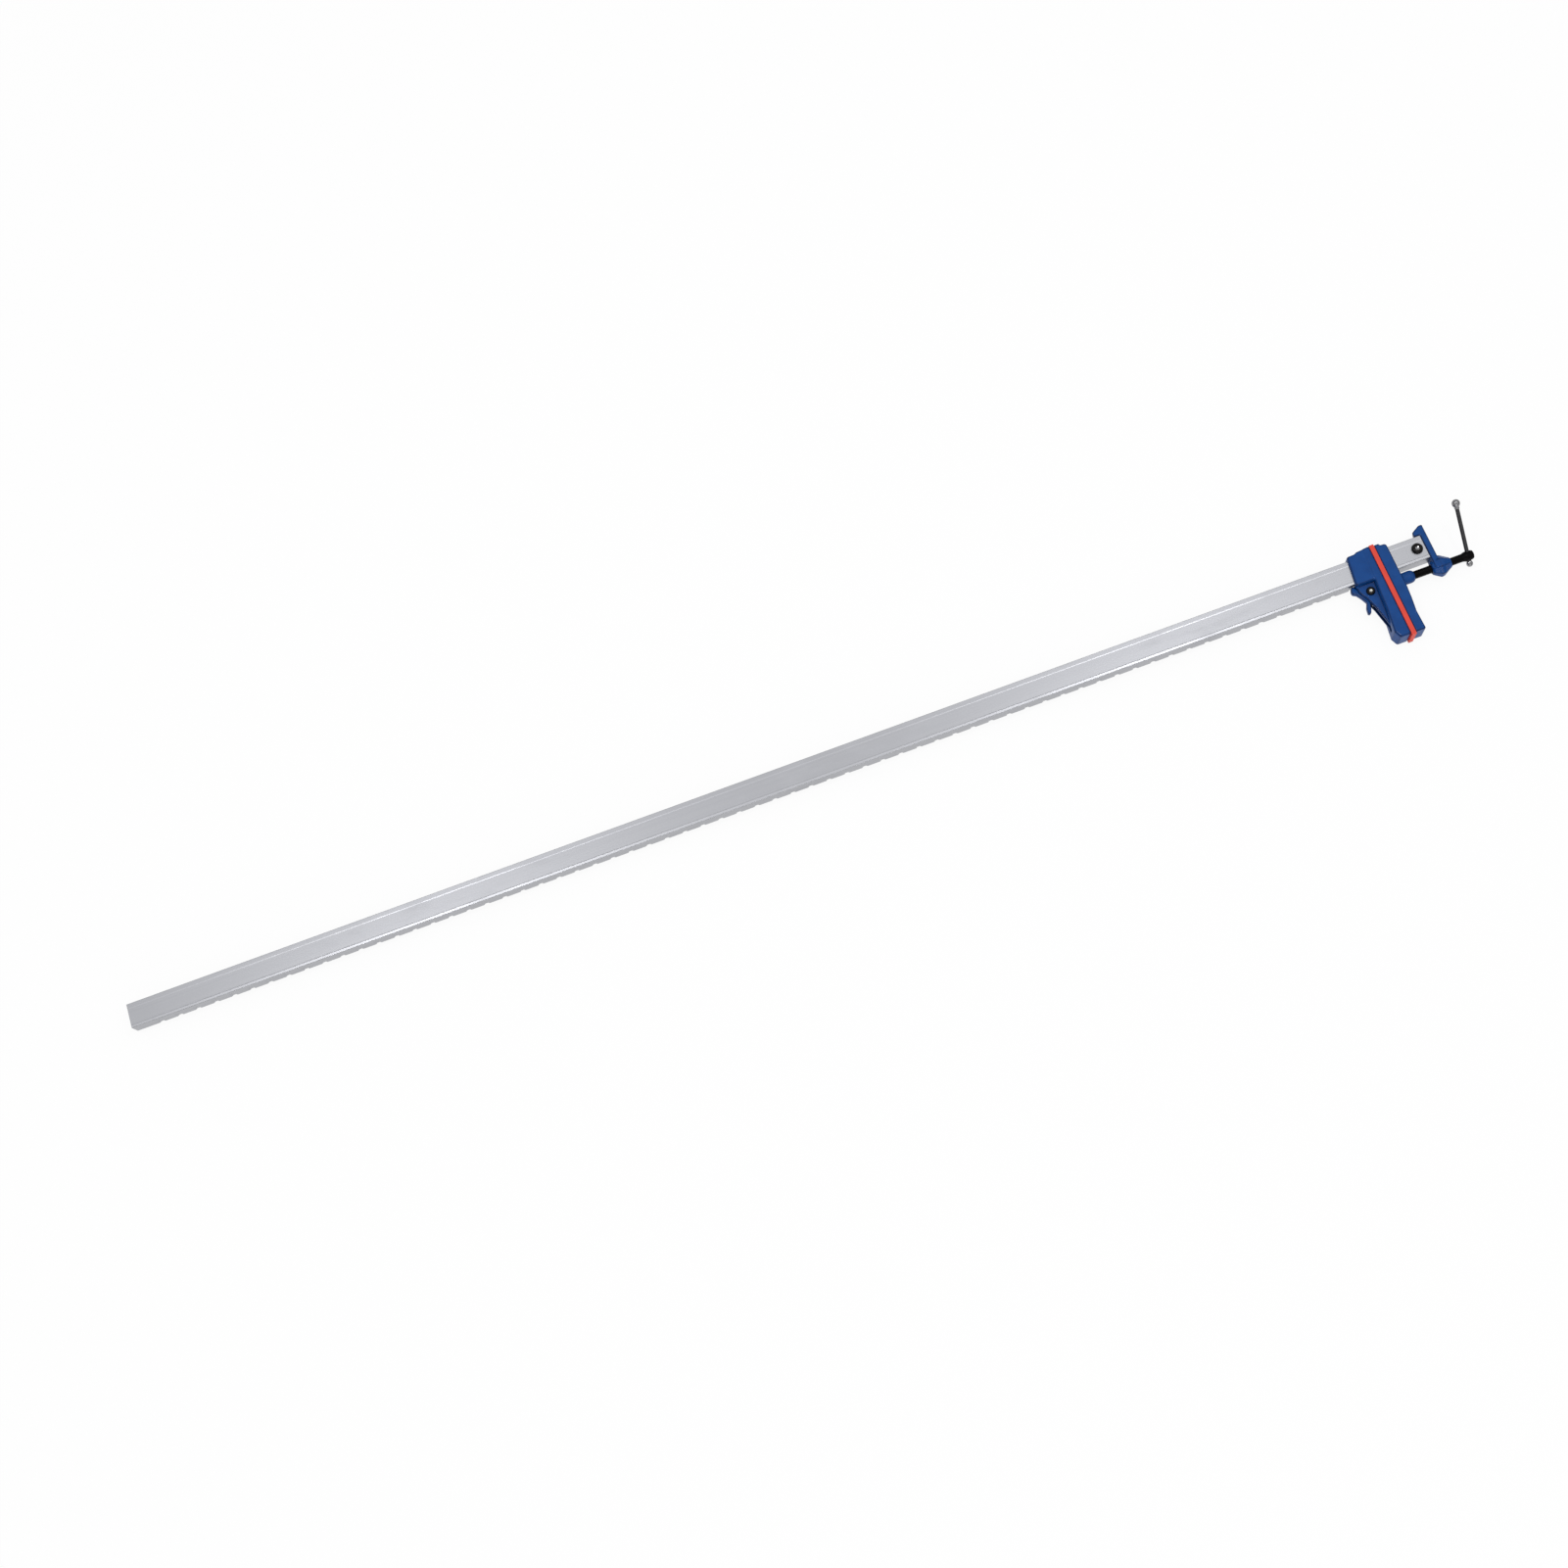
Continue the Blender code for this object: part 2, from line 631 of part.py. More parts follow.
def make_pad(name, face_x, side, rise):
    """Make a jaw's pad, with the two pegs that hold it; side is -1 where the jaw is on the left."""
    half = JAW_WIDTH / 2 - PAD_INSET
    near = face_x - side * SEAT
    far = near - side * PAD_THICKNESS
    low = (min(near, far), LOW_Y, -half)
    high = (max(near, far), BAR_TOP + rise, half)
    pad = block(name, low, high, RED)
    round_edges(pad, PAD_CORNER)
    for index, place in enumerate(peg_places()):
        peg = cylinder(
            f"{name}_peg_{index}",
            (near - side * PAD_THICKNESS / 2, place, 0),
            (near + side * PEG_LENGTH, place, 0),
            PEG_RADIUS,
            SMALL,
        )
        join(pad, peg)
    cut(pad, bar_passage(name + "_passage", low[0], high[0]))
    return pad


def peg_holes(name, face_x, side):
    """Return the cutters for a jaw's peg holes."""
    return [
        cylinder(
            f"{name}_hole_{index}",
            (face_x - side * OVERRUN, place, 0),
            (face_x + side * (PEG_LENGTH + SEAT), place, 0),
            PEG_RADIUS + SEAT,
            SMALL,
        )
        for index, place in enumerate(peg_places())
    ]


def tail_collar_outline():
    """Return the side outline of the tail jaw's collar."""
    outline = [(TAIL_FACE_X - TAIL_TOP_REACH, BAR_TOP + TAIL_ROOF)]
    for reach, rise in TAIL_SHOULDER_SHARES:
        outline.append((TAIL_FACE_X - reach * TAIL_TOP_REACH, BAR_TOP + rise * TAIL_FACE_RISE))
    inside = TAIL_FACE_X - TAIL_PLATE / 2
    outline.append((inside, BAR_TOP + TAIL_SHOULDER_SHARES[-1][1] * TAIL_FACE_RISE))
    outline.append((inside, BAR_UNDER - TAIL_FLOOR))
    outline.append((TAIL_FACE_X - TAIL_FLOOR_REACH, BAR_UNDER - TAIL_FLOOR))
    return outline


def tail_plate_outline():
    """Return the side outline of the tail jaw's face plate and foot."""
    top_plate = TAIL_PLATE * TAIL_SHOULDER_SHARES[-1][1]
    outline = [
        (TAIL_FACE_X, BAR_TOP + TAIL_FACE_RISE),
        (TAIL_FACE_X - top_plate, BAR_TOP + TAIL_SHOULDER_SHARES[-1][1] * TAIL_FACE_RISE),
        (TAIL_FACE_X - TAIL_PLATE, BAR_UNDER - TAIL_FLOOR),
    ]
    for drop, reach in TAIL_PLATE_SHARES:
        outline.append((TAIL_FACE_X - reach * TAIL_PLATE, BAR_UNDER - drop * THROAT))
    outline.append((TAIL_FACE_X - TAIL_FOOT_REACH, JAW_TIP_Y + TAIL_FOOT_HEIGHT))
    outline.append((TAIL_FACE_X - TAIL_FOOT_REACH + TAIL_FOOT_CHAMFER, JAW_TIP_Y))
    outline.append((TAIL_FACE_X, JAW_TIP_Y))
    return outline


def web_outline():
    """Return the side outline of the two cheeks that carry the dog."""
    inside = TAIL_FACE_X - TAIL_PLATE / 2
    outline = [
        (inside, BAR_UNDER - TAIL_FLOOR / 2),
        (TAIL_FACE_X - WEB_EDGE_SHARES[0][1] * TAIL_FLOOR_REACH, BAR_UNDER - TAIL_FLOOR / 2),
    ]
    for drop, reach in WEB_EDGE_SHARES:
        outline.append((TAIL_FACE_X - reach * TAIL_FLOOR_REACH, BAR_UNDER - drop * THROAT))
    outline.append((inside, JAW_TIP_Y + TAIL_FOOT_HEIGHT))
    return outline


def make_tail_jaw():
    """Make the sliding jaw: collar, face plate, foot and the slotted cheeks."""
    jaw = plate("tail_jaw", tail_plate_outline(), JAW_WIDTH / 2, BLUE)
    round_edges(jaw, JAW_ROUND)
    collar = plate("tail_collar", tail_collar_outline(), TAIL_COLLAR_WIDTH / 2)
    round_edges(collar, JAW_ROUND)
    web = plate("tail_web", web_outline(), WEB_WIDTH / 2)
    round_edges(web, WEB_ROUND)
    join(jaw, collar, web)
    half_slot = DOG_WIDTH / 2 + RUNNING
    slot = block(
        "dog_slot",
        (TAIL_FACE_X - TAIL_FLOOR_REACH - DOG_SPAN, BAR_UNDER - SLOT_DEPTH_SHARE * THROAT, -half_slot),
        (TAIL_FACE_X - SLOT_REACH, 0, half_slot),
    )
    pivot_hole = cylinder(
        "pivot_hole",
        (PIVOT_X, PIVOT_Y, -WEB_WIDTH),
        (PIVOT_X, PIVOT_Y, WEB_WIDTH),
        PIVOT_BOLT_RADIUS + SEAT,
        MEDIUM,
    )
    passage = bar_passage("tail_passage", TAIL_FACE_X - TAIL_FLOOR_REACH, TAIL_FACE_X)
    cut(jaw, pivot_hole, *peg_holes("tail_peg", TAIL_FACE_X, -1), passage, slot)
    return jaw


def make_pivot():
    """Make the bolt, sleeve, washer and nut that the dog turns on."""
    cheek = WEB_WIDTH / 2
    washer_top = -cheek - SEAT
    nut_top = washer_top - PIVOT_WASHER_THICKNESS - SEAT
    nut_low = nut_top - PIVOT_NUT_HEIGHT
    bolt = button_bolt(
        "pivot_bolt", PIVOT_X, PIVOT_Y, cheek + SEAT, nut_low - BOLT_END, PIVOT_BOLT_RADIUS,
        PIVOT_HEAD_RADIUS, PIVOT_HEAD_HEIGHT, PIVOT_SOCKET_RADIUS,
    )
    half = DOG_WIDTH / 2
    sleeve = washer(
        "pivot_sleeve", (PIVOT_X, PIVOT_Y, -half), Z_AXIS, SLEEVE_RADIUS, PIVOT_BOLT_RADIUS + SEAT,
        DOG_WIDTH, BRIGHT_STEEL,
    )
    spread = washer(
        "pivot_washer", (PIVOT_X, PIVOT_Y, washer_top), -Z_AXIS, PIVOT_WASHER_RADIUS,
        PIVOT_BOLT_RADIUS + SEAT, PIVOT_WASHER_THICKNESS, BRIGHT_STEEL,
    )
    nut = hexagon_nut(
        "pivot_nut", PIVOT_X, PIVOT_Y, nut_low, PIVOT_NUT_HEIGHT, PIVOT_NUT_RADIUS,
        PIVOT_BOLT_RADIUS + SEAT, BLACK_STEEL,
    )
    return [bolt, sleeve, spread, nut]


def dog_outline():
    """Return the side outline of the dog, from the top of its nose round its finger tab."""
    top = BAR_UNDER - DOG_NOSE_CLEARANCE
    outline = [(PIVOT_X + share * DOG_SPAN, top) for share in NOSE_TOP_SHARES]
    for across, up in DOG_LOWER_SHARES:
        outline.append((PIVOT_X + across * DOG_SPAN, PIVOT_Y + up * DOG_SPAN))
    return outline


def make_dog():
    """Make the lever whose nose catches the notches."""
    dog = plate("dog_lever", dog_outline(), DOG_WIDTH / 2, BLUE)
    round_edges(dog, DOG_ROUND)
    half = DOG_WIDTH / 2
    hub = cylinder(
        "dog_hub", (PIVOT_X, PIVOT_Y, -half), (PIVOT_X, PIVOT_Y, half), DOG_HUB_RADIUS, FINE
    )
    bore = cylinder(
        "dog_bore", (PIVOT_X, PIVOT_Y, -WEB_WIDTH), (PIVOT_X, PIVOT_Y, WEB_WIDTH),
        SLEEVE_RADIUS + RUNNING, MEDIUM,
    )
    join(dog, hub)
    cut(dog, bore)
    return dog


def tab_back_x(place_y):
    """Return where the back of the finger tab is at a given height."""
    upper, lower = DOG_LOWER_SHARES[5], DOG_LOWER_SHARES[6]
    share = ((place_y - PIVOT_Y) / DOG_SPAN - upper[1]) / (lower[1] - upper[1])
    return PIVOT_X + DOG_SPAN * (upper[0] + share * (lower[0] - upper[0]))


def least_gap(points, wire, apart):
    """Return the least gap between stretches of a wire that lie at least apart points apart."""
    gaps = [
        (first - second).length - 2 * wire
        for index, first in enumerate(points)
        for second in points[index + apart:]
    ]
    return min(gaps)


def make_dog_spring():
    """Make the compression spring between the finger tab and the floor of the slot."""
    place_y = BAR_UNDER - SPRING_DROP
    low_end = tab_back_x(place_y - SPRING_RADIUS) + SEAT + SPRING_WIRE_RADIUS
    start_x = max(low_end, tab_back_x(place_y + SPRING_RADIUS) + SEAT + SPRING_WIRE_RADIUS)
    end_x = TAIL_FACE_X - SLOT_REACH - SEAT - SPRING_WIRE_RADIUS
    count = SPRING_COILS * SPRING_POINTS
    points = []
    for index in range(count + 1):
        share = index / count
        angle = 2 * math.pi * SPRING_COILS * share
        points.append(
            Vector((
                start_x + share * (end_x - start_x),
                place_y + SPRING_RADIUS * math.cos(angle),
                SPRING_RADIUS * math.sin(angle),
            ))
        )
    print("dog spring: least gap to itself", least_gap(points, SPRING_WIRE_RADIUS, SPRING_POINTS // 2))
    curve = bpy.data.curves.new("dog_spring", "CURVE")
    curve.dimensions = "3D"
    curve.bevel_depth = SPRING_WIRE_RADIUS
    curve.bevel_resolution = SPRING_FACETS
    curve.use_fill_caps = True
    spline = curve.splines.new("POLY")
    spline.points.add(count)
    for point, place in zip(spline.points, points):
        point.co = (*place, 1)
    piece = bpy.data.objects.new("dog_spring", curve)
    PARTS.objects.link(piece)
    return solid_of(piece, BRIGHT_STEEL)


def screw_jaw_outline():
    """Return the side outline of the jaw that the screw drives."""
    shoulder = SCREW_FACE_X + SCREW_JAW_DEPTH * SCREW_JAW_BACK_SHARES[0][1] - SCREW_JAW_SHOULDER
    roof = BAR_TOP + SCREW_JAW_ROOF
    outline = [
        (SCREW_FACE_X, BAR_TOP + SCREW_JAW_RISE),
        (SCREW_FACE_X, JAW_TIP_Y),
        (SCREW_FACE_X + SCREW_JAW_DEPTH * SCREW_JAW_BACK_SHARES[-1][1], JAW_TIP_Y),
    ]
    for drop, depth in reversed(SCREW_JAW_BACK_SHARES):
        outline.append((SCREW_FACE_X + depth * SCREW_JAW_DEPTH, BAR_UNDER - drop * THROAT))
    outline += arc((shoulder, roof - SCREW_JAW_SHOULDER), SCREW_JAW_SHOULDER, 0, math.pi / 2)
    outline.append((SCREW_FACE_X + SCREW_JAW_LIP, roof))
    outline.append((SCREW_FACE_X + SCREW_JAW_LIP, BAR_TOP + SCREW_JAW_RISE))
    return outline


def make_screw_jaw():
    """Make the jaw that slides on the bar ahead of the screw."""
    jaw = plate("screw_jaw", screw_jaw_outline(), JAW_WIDTH / 2, BLUE)
    round_edges(jaw, JAW_ROUND)
    back = SCREW_FACE_X + SCREW_JAW_DEPTH
    length = SCREW_BOSS_END_X - SCREW_FACE_X
    end_round = [
        (length - SCREW_BOSS_ROUND + across, SCREW_BOSS_RADIUS - SCREW_BOSS_ROUND + up)
        for across, up in arc((0, 0), SCREW_BOSS_ROUND, 0, math.pi / 2)
    ]
    start = (SCREW_FACE_X, SCREW_Y, 0)
    boss = turned(
        "screw_jaw_boss", end_round + [(2 * CLIP_POCKET_DEPTH, SCREW_BOSS_RADIUS)], start, X_AXIS, FINE
    )
    bore_steps = [
        (length + OVERRUN, SCREW_RADIUS + RUNNING),
        (length - THRUST_DEPTH, SCREW_RADIUS + RUNNING),
        (length - THRUST_DEPTH, SPIGOT_RADIUS + RUNNING),
        (CLIP_POCKET_DEPTH / 2, SPIGOT_RADIUS + RUNNING),
    ]
    bore = turned("screw_jaw_bore", bore_steps, start, X_AXIS, FINE)
    pocket = cylinder(
        "clip_pocket", (SCREW_FACE_X - OVERRUN, SCREW_Y, 0), (SCREW_FACE_X + CLIP_POCKET_DEPTH, SCREW_Y, 0),
        CLIP_POCKET_RADIUS, FINE,
    )
    passage = bar_passage("screw_jaw_passage", SCREW_FACE_X, back)
    cut(jaw, passage, pocket, *peg_holes("screw_peg", SCREW_FACE_X, 1))
    join(jaw, boss)
    cut(jaw, bore)
    return jaw


def clip_x():
    """Return where the near face of the retaining clip is."""
    return SCREW_FACE_X + CLIP_POCKET_DEPTH - SEAT - CLIP_THICKNESS


def make_screw():
    """Make the screw with its hub and spigot, the clip on the spigot and the thrust washer."""
    seat = SCREW_BOSS_END_X - THRUST_DEPTH
    shoulder = seat + SEAT + THRUST_WASHER + SEAT
    tip = clip_x() - CLIP_END_LAND
    groove_low = clip_x() - SEAT / 2
    groove_high = clip_x() + CLIP_THICKNESS + SEAT / 2
    stations = [
        (HUB_END_X, HUB_RADIUS - HUB_CHAMFER),
        (HUB_END_X - HUB_CHAMFER, HUB_RADIUS),
        (HUB_X + HUB_FLARE, HUB_RADIUS),
        (HUB_X, SCREW_RADIUS),
        (shoulder + TIP_CHAMFER, SCREW_RADIUS),
        (shoulder, SCREW_RADIUS - TIP_CHAMFER),
        (shoulder, SPIGOT_RADIUS),
        (groove_high, SPIGOT_RADIUS),
        (groove_high, SPIGOT_RADIUS - CLIP_GROOVE - SEAT),
        (groove_low, SPIGOT_RADIUS - CLIP_GROOVE - SEAT),
        (groove_low, SPIGOT_RADIUS),
        (tip + TIP_CHAMFER, SPIGOT_RADIUS),
        (tip, SPIGOT_RADIUS - TIP_CHAMFER),
    ]
    profile = [(along - tip, radius) for along, radius in stations]
    screw = turned("screw_spindle", profile, (tip, SCREW_Y, 0), X_AXIS, FINE, BLACK_STEEL)
    cross_hole = cylinder(
        "tommy_hole",
        TOMMY_CENTRE - TOMMY_LINE * (HUB_RADIUS + OVERRUN),
        TOMMY_CENTRE + TOMMY_LINE * (HUB_RADIUS + OVERRUN),
        TOMMY_RADIUS + RUNNING,
        MEDIUM,
    )
    cut(screw, cross_hole)
    thrust = washer(
        "thrust_washer", (seat + SEAT, SCREW_Y, 0), X_AXIS, SCREW_RADIUS, SPIGOT_RADIUS + RUNNING,
        THRUST_WASHER, BRIGHT_STEEL,
    )
    clip = washer(
        "retaining_clip", (clip_x(), SCREW_Y, 0), X_AXIS, CLIP_RADIUS, SPIGOT_RADIUS - CLIP_GROOVE,
        CLIP_THICKNESS, BRIGHT_STEEL,
    )
    half_mouth = CLIP_MOUTH_SHARE * CLIP_RADIUS / 2
    mouth = block(
        "clip_mouth",
        (clip_x() - OVERRUN, SCREW_Y - CLIP_RADIUS - OVERRUN, -half_mouth),
        (clip_x() + CLIP_THICKNESS + OVERRUN, SCREW_Y, half_mouth),
    )
    cut(clip, mouth)
    return [screw, thrust, clip]


def make_tommy():
    """Make the sliding bar that turns the screw, with a ball on each end."""
    up = TOMMY_CENTRE + TOMMY_LINE * TOMMY_UP
    down = TOMMY_CENTRE - TOMMY_LINE * TOMMY_DOWN
    rod = cylinder(
        "tommy_rod",
        down + TOMMY_LINE * (LOWER_BALL_RADIUS - BALL_SEAT),
        up - TOMMY_LINE * (UPPER_BALL_RADIUS - BALL_SEAT),
        TOMMY_RADIUS,
        SMALL,
        ROD_STEEL,
    )
    pieces = [rod]
    for name, centre, inward, radius in (
        ("tommy_ball_upper", up, -TOMMY_LINE, UPPER_BALL_RADIUS),
        ("tommy_ball_lower", down, TOMMY_LINE, LOWER_BALL_RADIUS),
    ):
        shape = bmesh.new()
        bmesh.ops.create_uvsphere(shape, u_segments=MEDIUM, v_segments=SMALL, radius=radius)
        mesh = bpy.data.meshes.new(name)
        shape.to_mesh(mesh)
        shape.free()
        ball = add_object(name, mesh, CHROME)
        ball.rotation_mode = "QUATERNION"
        ball.rotation_quaternion = TOMMY_LINE.to_track_quat("Z", "Y")
        ball.location = centre
        shade_round(ball)
        socket = cylinder(
            name + "_socket",
            centre + inward * (radius - BALL_SEAT - SEAT),
            centre + inward * (radius + OVERRUN),
            TOMMY_RADIUS + SEAT,
            SMALL,
        )
        cut(ball, socket)
        pieces.append(ball)
    return pieces


def gather(name, pivot, pieces, base):
    """Hang the pieces of one body from an empty on its joint's axis."""
    empty = bpy.data.objects.new(name, None)
    PARTS.objects.link(empty)
    empty.parent = base
    empty.location = pivot
    for piece in pieces:
        piece.parent = empty
        piece.location = piece.location - Vector(pivot)


def build():
    """Build the clamp and move its reference point to the origin."""
    bar, plug = make_bar()
    head = make_head()
    fixing = make_head_fixing()
    tail_jaw = make_tail_jaw()
    tail_pad = make_pad("tail_jaw_pad", TAIL_FACE_X, -1, TAIL_FACE_RISE)
    pivot = make_pivot()
    dog = make_dog()
    spring = make_dog_spring()
    screw_jaw = make_screw_jaw()
    screw_pad = make_pad("screw_jaw_pad", SCREW_FACE_X, 1, TAIL_FACE_RISE)
    screw, thrust, clip = make_screw()
    tommy = make_tommy()

    base = bpy.data.objects.new("clamp_frame", None)
    PARTS.objects.link(base)
    base.location = -REFERENCE
    gather("bar_body", (0, 0, 0), [bar, plug, head, *fixing], base)
    gather("tail_jaw_body", (TAIL_FACE_X, 0, 0), [tail_jaw, tail_pad, *pivot, spring], base)
    gather("dog_body", (PIVOT_X, PIVOT_Y, 0), [dog], base)
    gather("screw_jaw_body", (SCREW_FACE_X, 0, 0), [screw_jaw, screw_pad, thrust], base)
    gather("screw_body", (SCREW_FACE_X, SCREW_Y, 0), [screw, clip], base)
    gather("tommy_body", TOMMY_CENTRE, tommy, base)
    for tool in CUTTERS.objects:
        tool.parent = base


build()
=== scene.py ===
"""Looks of the aluminium-bar sash clamp.

Each sub-assembly of the clamp is a class. Its sizes are fields in metres, apart from outlines and
profiles, whose points are in millimetres, and its methods model the pieces with Blender's own
operators and dress them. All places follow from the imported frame, whose X runs along the bar
towards the screw, Y from the jaws' tips towards the bar, and Z up.
"""

import json
import logging
import math
from dataclasses import dataclass, field
from enum import Enum
from typing import Callable, Sequence

import bmesh
import bpy
from mathutils import Matrix, Vector

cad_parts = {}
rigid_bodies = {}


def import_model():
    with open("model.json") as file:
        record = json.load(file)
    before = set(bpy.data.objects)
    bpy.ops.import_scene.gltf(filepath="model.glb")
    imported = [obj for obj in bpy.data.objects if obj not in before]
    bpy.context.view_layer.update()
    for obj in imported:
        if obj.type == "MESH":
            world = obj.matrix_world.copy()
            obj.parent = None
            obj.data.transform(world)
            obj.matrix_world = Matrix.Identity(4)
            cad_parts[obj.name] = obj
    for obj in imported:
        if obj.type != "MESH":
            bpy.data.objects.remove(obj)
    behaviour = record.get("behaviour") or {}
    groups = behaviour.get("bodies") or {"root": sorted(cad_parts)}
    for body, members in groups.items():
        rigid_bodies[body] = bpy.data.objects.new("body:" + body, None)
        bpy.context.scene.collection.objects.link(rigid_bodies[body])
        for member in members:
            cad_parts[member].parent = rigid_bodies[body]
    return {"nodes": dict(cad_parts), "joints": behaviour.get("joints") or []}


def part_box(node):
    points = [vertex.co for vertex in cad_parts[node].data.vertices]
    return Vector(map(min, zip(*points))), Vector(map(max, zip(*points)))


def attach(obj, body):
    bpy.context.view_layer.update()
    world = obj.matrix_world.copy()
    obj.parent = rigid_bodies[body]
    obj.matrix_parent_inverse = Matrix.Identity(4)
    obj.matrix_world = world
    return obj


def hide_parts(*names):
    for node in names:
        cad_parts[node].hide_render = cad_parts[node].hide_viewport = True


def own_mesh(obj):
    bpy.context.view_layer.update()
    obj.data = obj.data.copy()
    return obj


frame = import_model()

LOG = logging.getLogger("sash_clamp")
MM = 0.001
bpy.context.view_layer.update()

X_AXIS = Vector((1, 0, 0))
Y_AXIS = Vector((0, 1, 0))
Z_AXIS = Vector((0, 0, 1))

SMOOTH_ANGLE = math.radians(38)
BEVEL_ANGLE = math.radians(40)
MERGE = 0.001 * MM
CLEAR = 0.05 * MM               # kept between pieces that touch
PAST = 2.0 * MM                 # how far a cutter runs past the face that it opens
BAR_PLAY = 0.35 * MM            # clearance of the jaws and pads round the bar
WIDE_SIDES = 48                 # sides of a wide round form
SLIM_SIDES = 32                 # sides of a slim one
HEXAGON = 6
FACING = 0.9                    # least part of a face's normal along the way that it faces
TOMMY_TILT = math.radians(37.3)
TOMMY_LINE = Vector((0, math.cos(TOMMY_TILT), math.sin(TOMMY_TILT)))
DRY_BLACK = "dry_black"

Piece = bpy.types.Object
Material = bpy.types.Material
Nodes = bpy.types.NodeTree
Socket = bpy.types.NodeSocket
Point = tuple[float, float]
Outline = Sequence[Point]


class Body(Enum):
    """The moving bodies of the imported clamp."""

    BAR = "bar"
    TAIL_JAW = "tail_jaw"
    DOG = "dog"
    SCREW_JAW = "screw_jaw"
    SCREW = "screw"
    TOMMY = "tommy"


class Slot(Enum):
    """The record's material slots."""

    ALUMINIUM = "aluminium"
    ENAMEL = "blue_enamel"
    PAD = "red_plastic"
    BLACK_STEEL = "black_steel"
    ROD = "rod_steel"
    CHROME = "chrome"
    ZINC = "bright_steel"
    PLUG = "black_plastic"


class Solve(Enum):
    """What stays of a piece when a tool works on it."""

    CUT = "DIFFERENCE"
    COMMON = "INTERSECT"


class Part(Enum):
    """What a mesh is made of."""

    VERTEX = "VERT"
    EDGE = "EDGE"
    FACE = "FACE"


# Modelling


def only(piece: Piece) -> Piece:
    """Select one object alone and make it active.

    Args:
        piece: The object.

    Returns:
        The same object.
    """
    for other in bpy.context.scene.objects:
        other.select_set(False)
    piece.select_set(True)
    bpy.context.view_layer.objects.active = piece
    return piece


def settle(piece: Piece, name: str) -> Piece:
    """Name a new object and write its place, turn and scale into its mesh.

    Args:
        piece: The object.
        name: Its new name.

    Returns:
        The same object, selected alone.
    """
    only(piece)
    piece.name = name
    piece.data.name = name
    bpy.ops.object.transform_apply(location=True, rotation=True, scale=True)
    return piece


def node_box(node: str) -> tuple[Vector, Vector, Vector]:
    """Give the box of a CAD node.

    Args:
        node: Name of the node.

    Returns:
        Its lowest corner, its highest corner and its middle.
    """
    low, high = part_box(node)
    return low, high, (low + high) / 2


def add_box(name: str, low: Vector, high: Vector) -> Piece:
    """Add a box between two corners.

    Args:
        name: Name of the object.
        low: Lowest corner.
        high: Highest corner.

    Returns:
        The object.
    """
    bpy.ops.object.select_all(action="DESELECT")
    bpy.ops.mesh.primitive_cube_add(size=1, location=(low + high) / 2, scale=high - low)
    return settle(bpy.context.object, name)


def add_rod(name: str, start: Vector, end: Vector, radius: float, sides: int) -> Piece:
    """Add a capped cylinder or prism from one point to another.

    Args:
        name: Name of the object.
        start: Middle of its first face.
        end: Middle of its last face.
        radius: Radius to its corners.
        sides: Number of its sides.

    Returns:
        The object.
    """
    line = end - start
    bpy.ops.object.select_all(action="DESELECT")
    bpy.ops.mesh.primitive_cylinder_add(
        vertices=sides, radius=radius, depth=line.length, location=(start + end) / 2,
        rotation=line.to_track_quat("Z", "Y").to_euler(),
    )
    return settle(bpy.context.object, name)


def add_post(
    name: str, place: Sequence[float], low: float, high: float, radius: float, sides: int
) -> Piece:
    """Add an upright rod.

    Args:
        name: Name of the object.
        place: Its place in X and Y.
        low: Height of its underside.
        high: Height of its top.
        radius: Radius to its corners.
        sides: Number of its sides.

    Returns:
        The object.
    """
    return add_rod(name, Vector((*place, low)), Vector((*place, high)), radius, sides)


def add_drill(name: str, place: Sequence[float], low: float, high: float, radius: float) -> Piece:
    """Add the cutter for an upright hole.

    Args:
        name: Name of the object.
        place: Its place in X and Y.
        low: Height of the underside that it opens.
        high: Height of the top that it opens.
        radius: Radius of the hole.

    Returns:
        The object.
    """
    return add_post(name, place, low - PAST, high + PAST, radius, SLIM_SIDES)


def draw_line(name: str, places: Sequence[Vector]) -> Piece:
    """Draw a chain of edges, one vertex pulled out of the last.

    Args:
        name: Name of the object.
        places: The points of the chain.

    Returns:
        The object, in edit mode, with its last vertex selected.
    """
    bpy.ops.object.select_all(action="DESELECT")
    bpy.ops.mesh.primitive_plane_add(size=MM, location=places[0])
    piece = settle(bpy.context.object, name)
    bpy.ops.object.mode_set(mode="EDIT")
    bpy.ops.mesh.select_mode(type="VERT")
    bpy.ops.mesh.select_all(action="SELECT")
    bpy.ops.mesh.merge(type="CENTER")
    for before, place in zip(places, places[1:]):
        bpy.ops.mesh.extrude_region_move(TRANSFORM_OT_translate={"value": place - before})
    return piece


def close_solid(piece: Piece) -> Piece:
    """Turn all faces of the piece in edit mode outwards and leave that mode.

    Args:
        piece: The piece.

    Returns:
        The same piece.
    """
    bpy.ops.mesh.select_all(action="SELECT")
    bpy.ops.mesh.normals_make_consistent(inside=False)
    bpy.ops.object.mode_set(mode="OBJECT")
    return piece


def add_prism(name: str, corners: Sequence[Vector], move: Vector) -> Piece:
    """Add a solid pulled out of a flat outline.

    Args:
        name: Name of the object.
        corners: Corners of the outline, in order.
        move: How far and which way it is pulled.

    Returns:
        The object.
    """
    piece = draw_line(name, corners)
    bpy.ops.mesh.select_all(action="SELECT")
    bpy.ops.mesh.edge_face_add()
    bpy.ops.mesh.extrude_region_move(TRANSFORM_OT_translate={"value": move})
    return close_solid(piece)


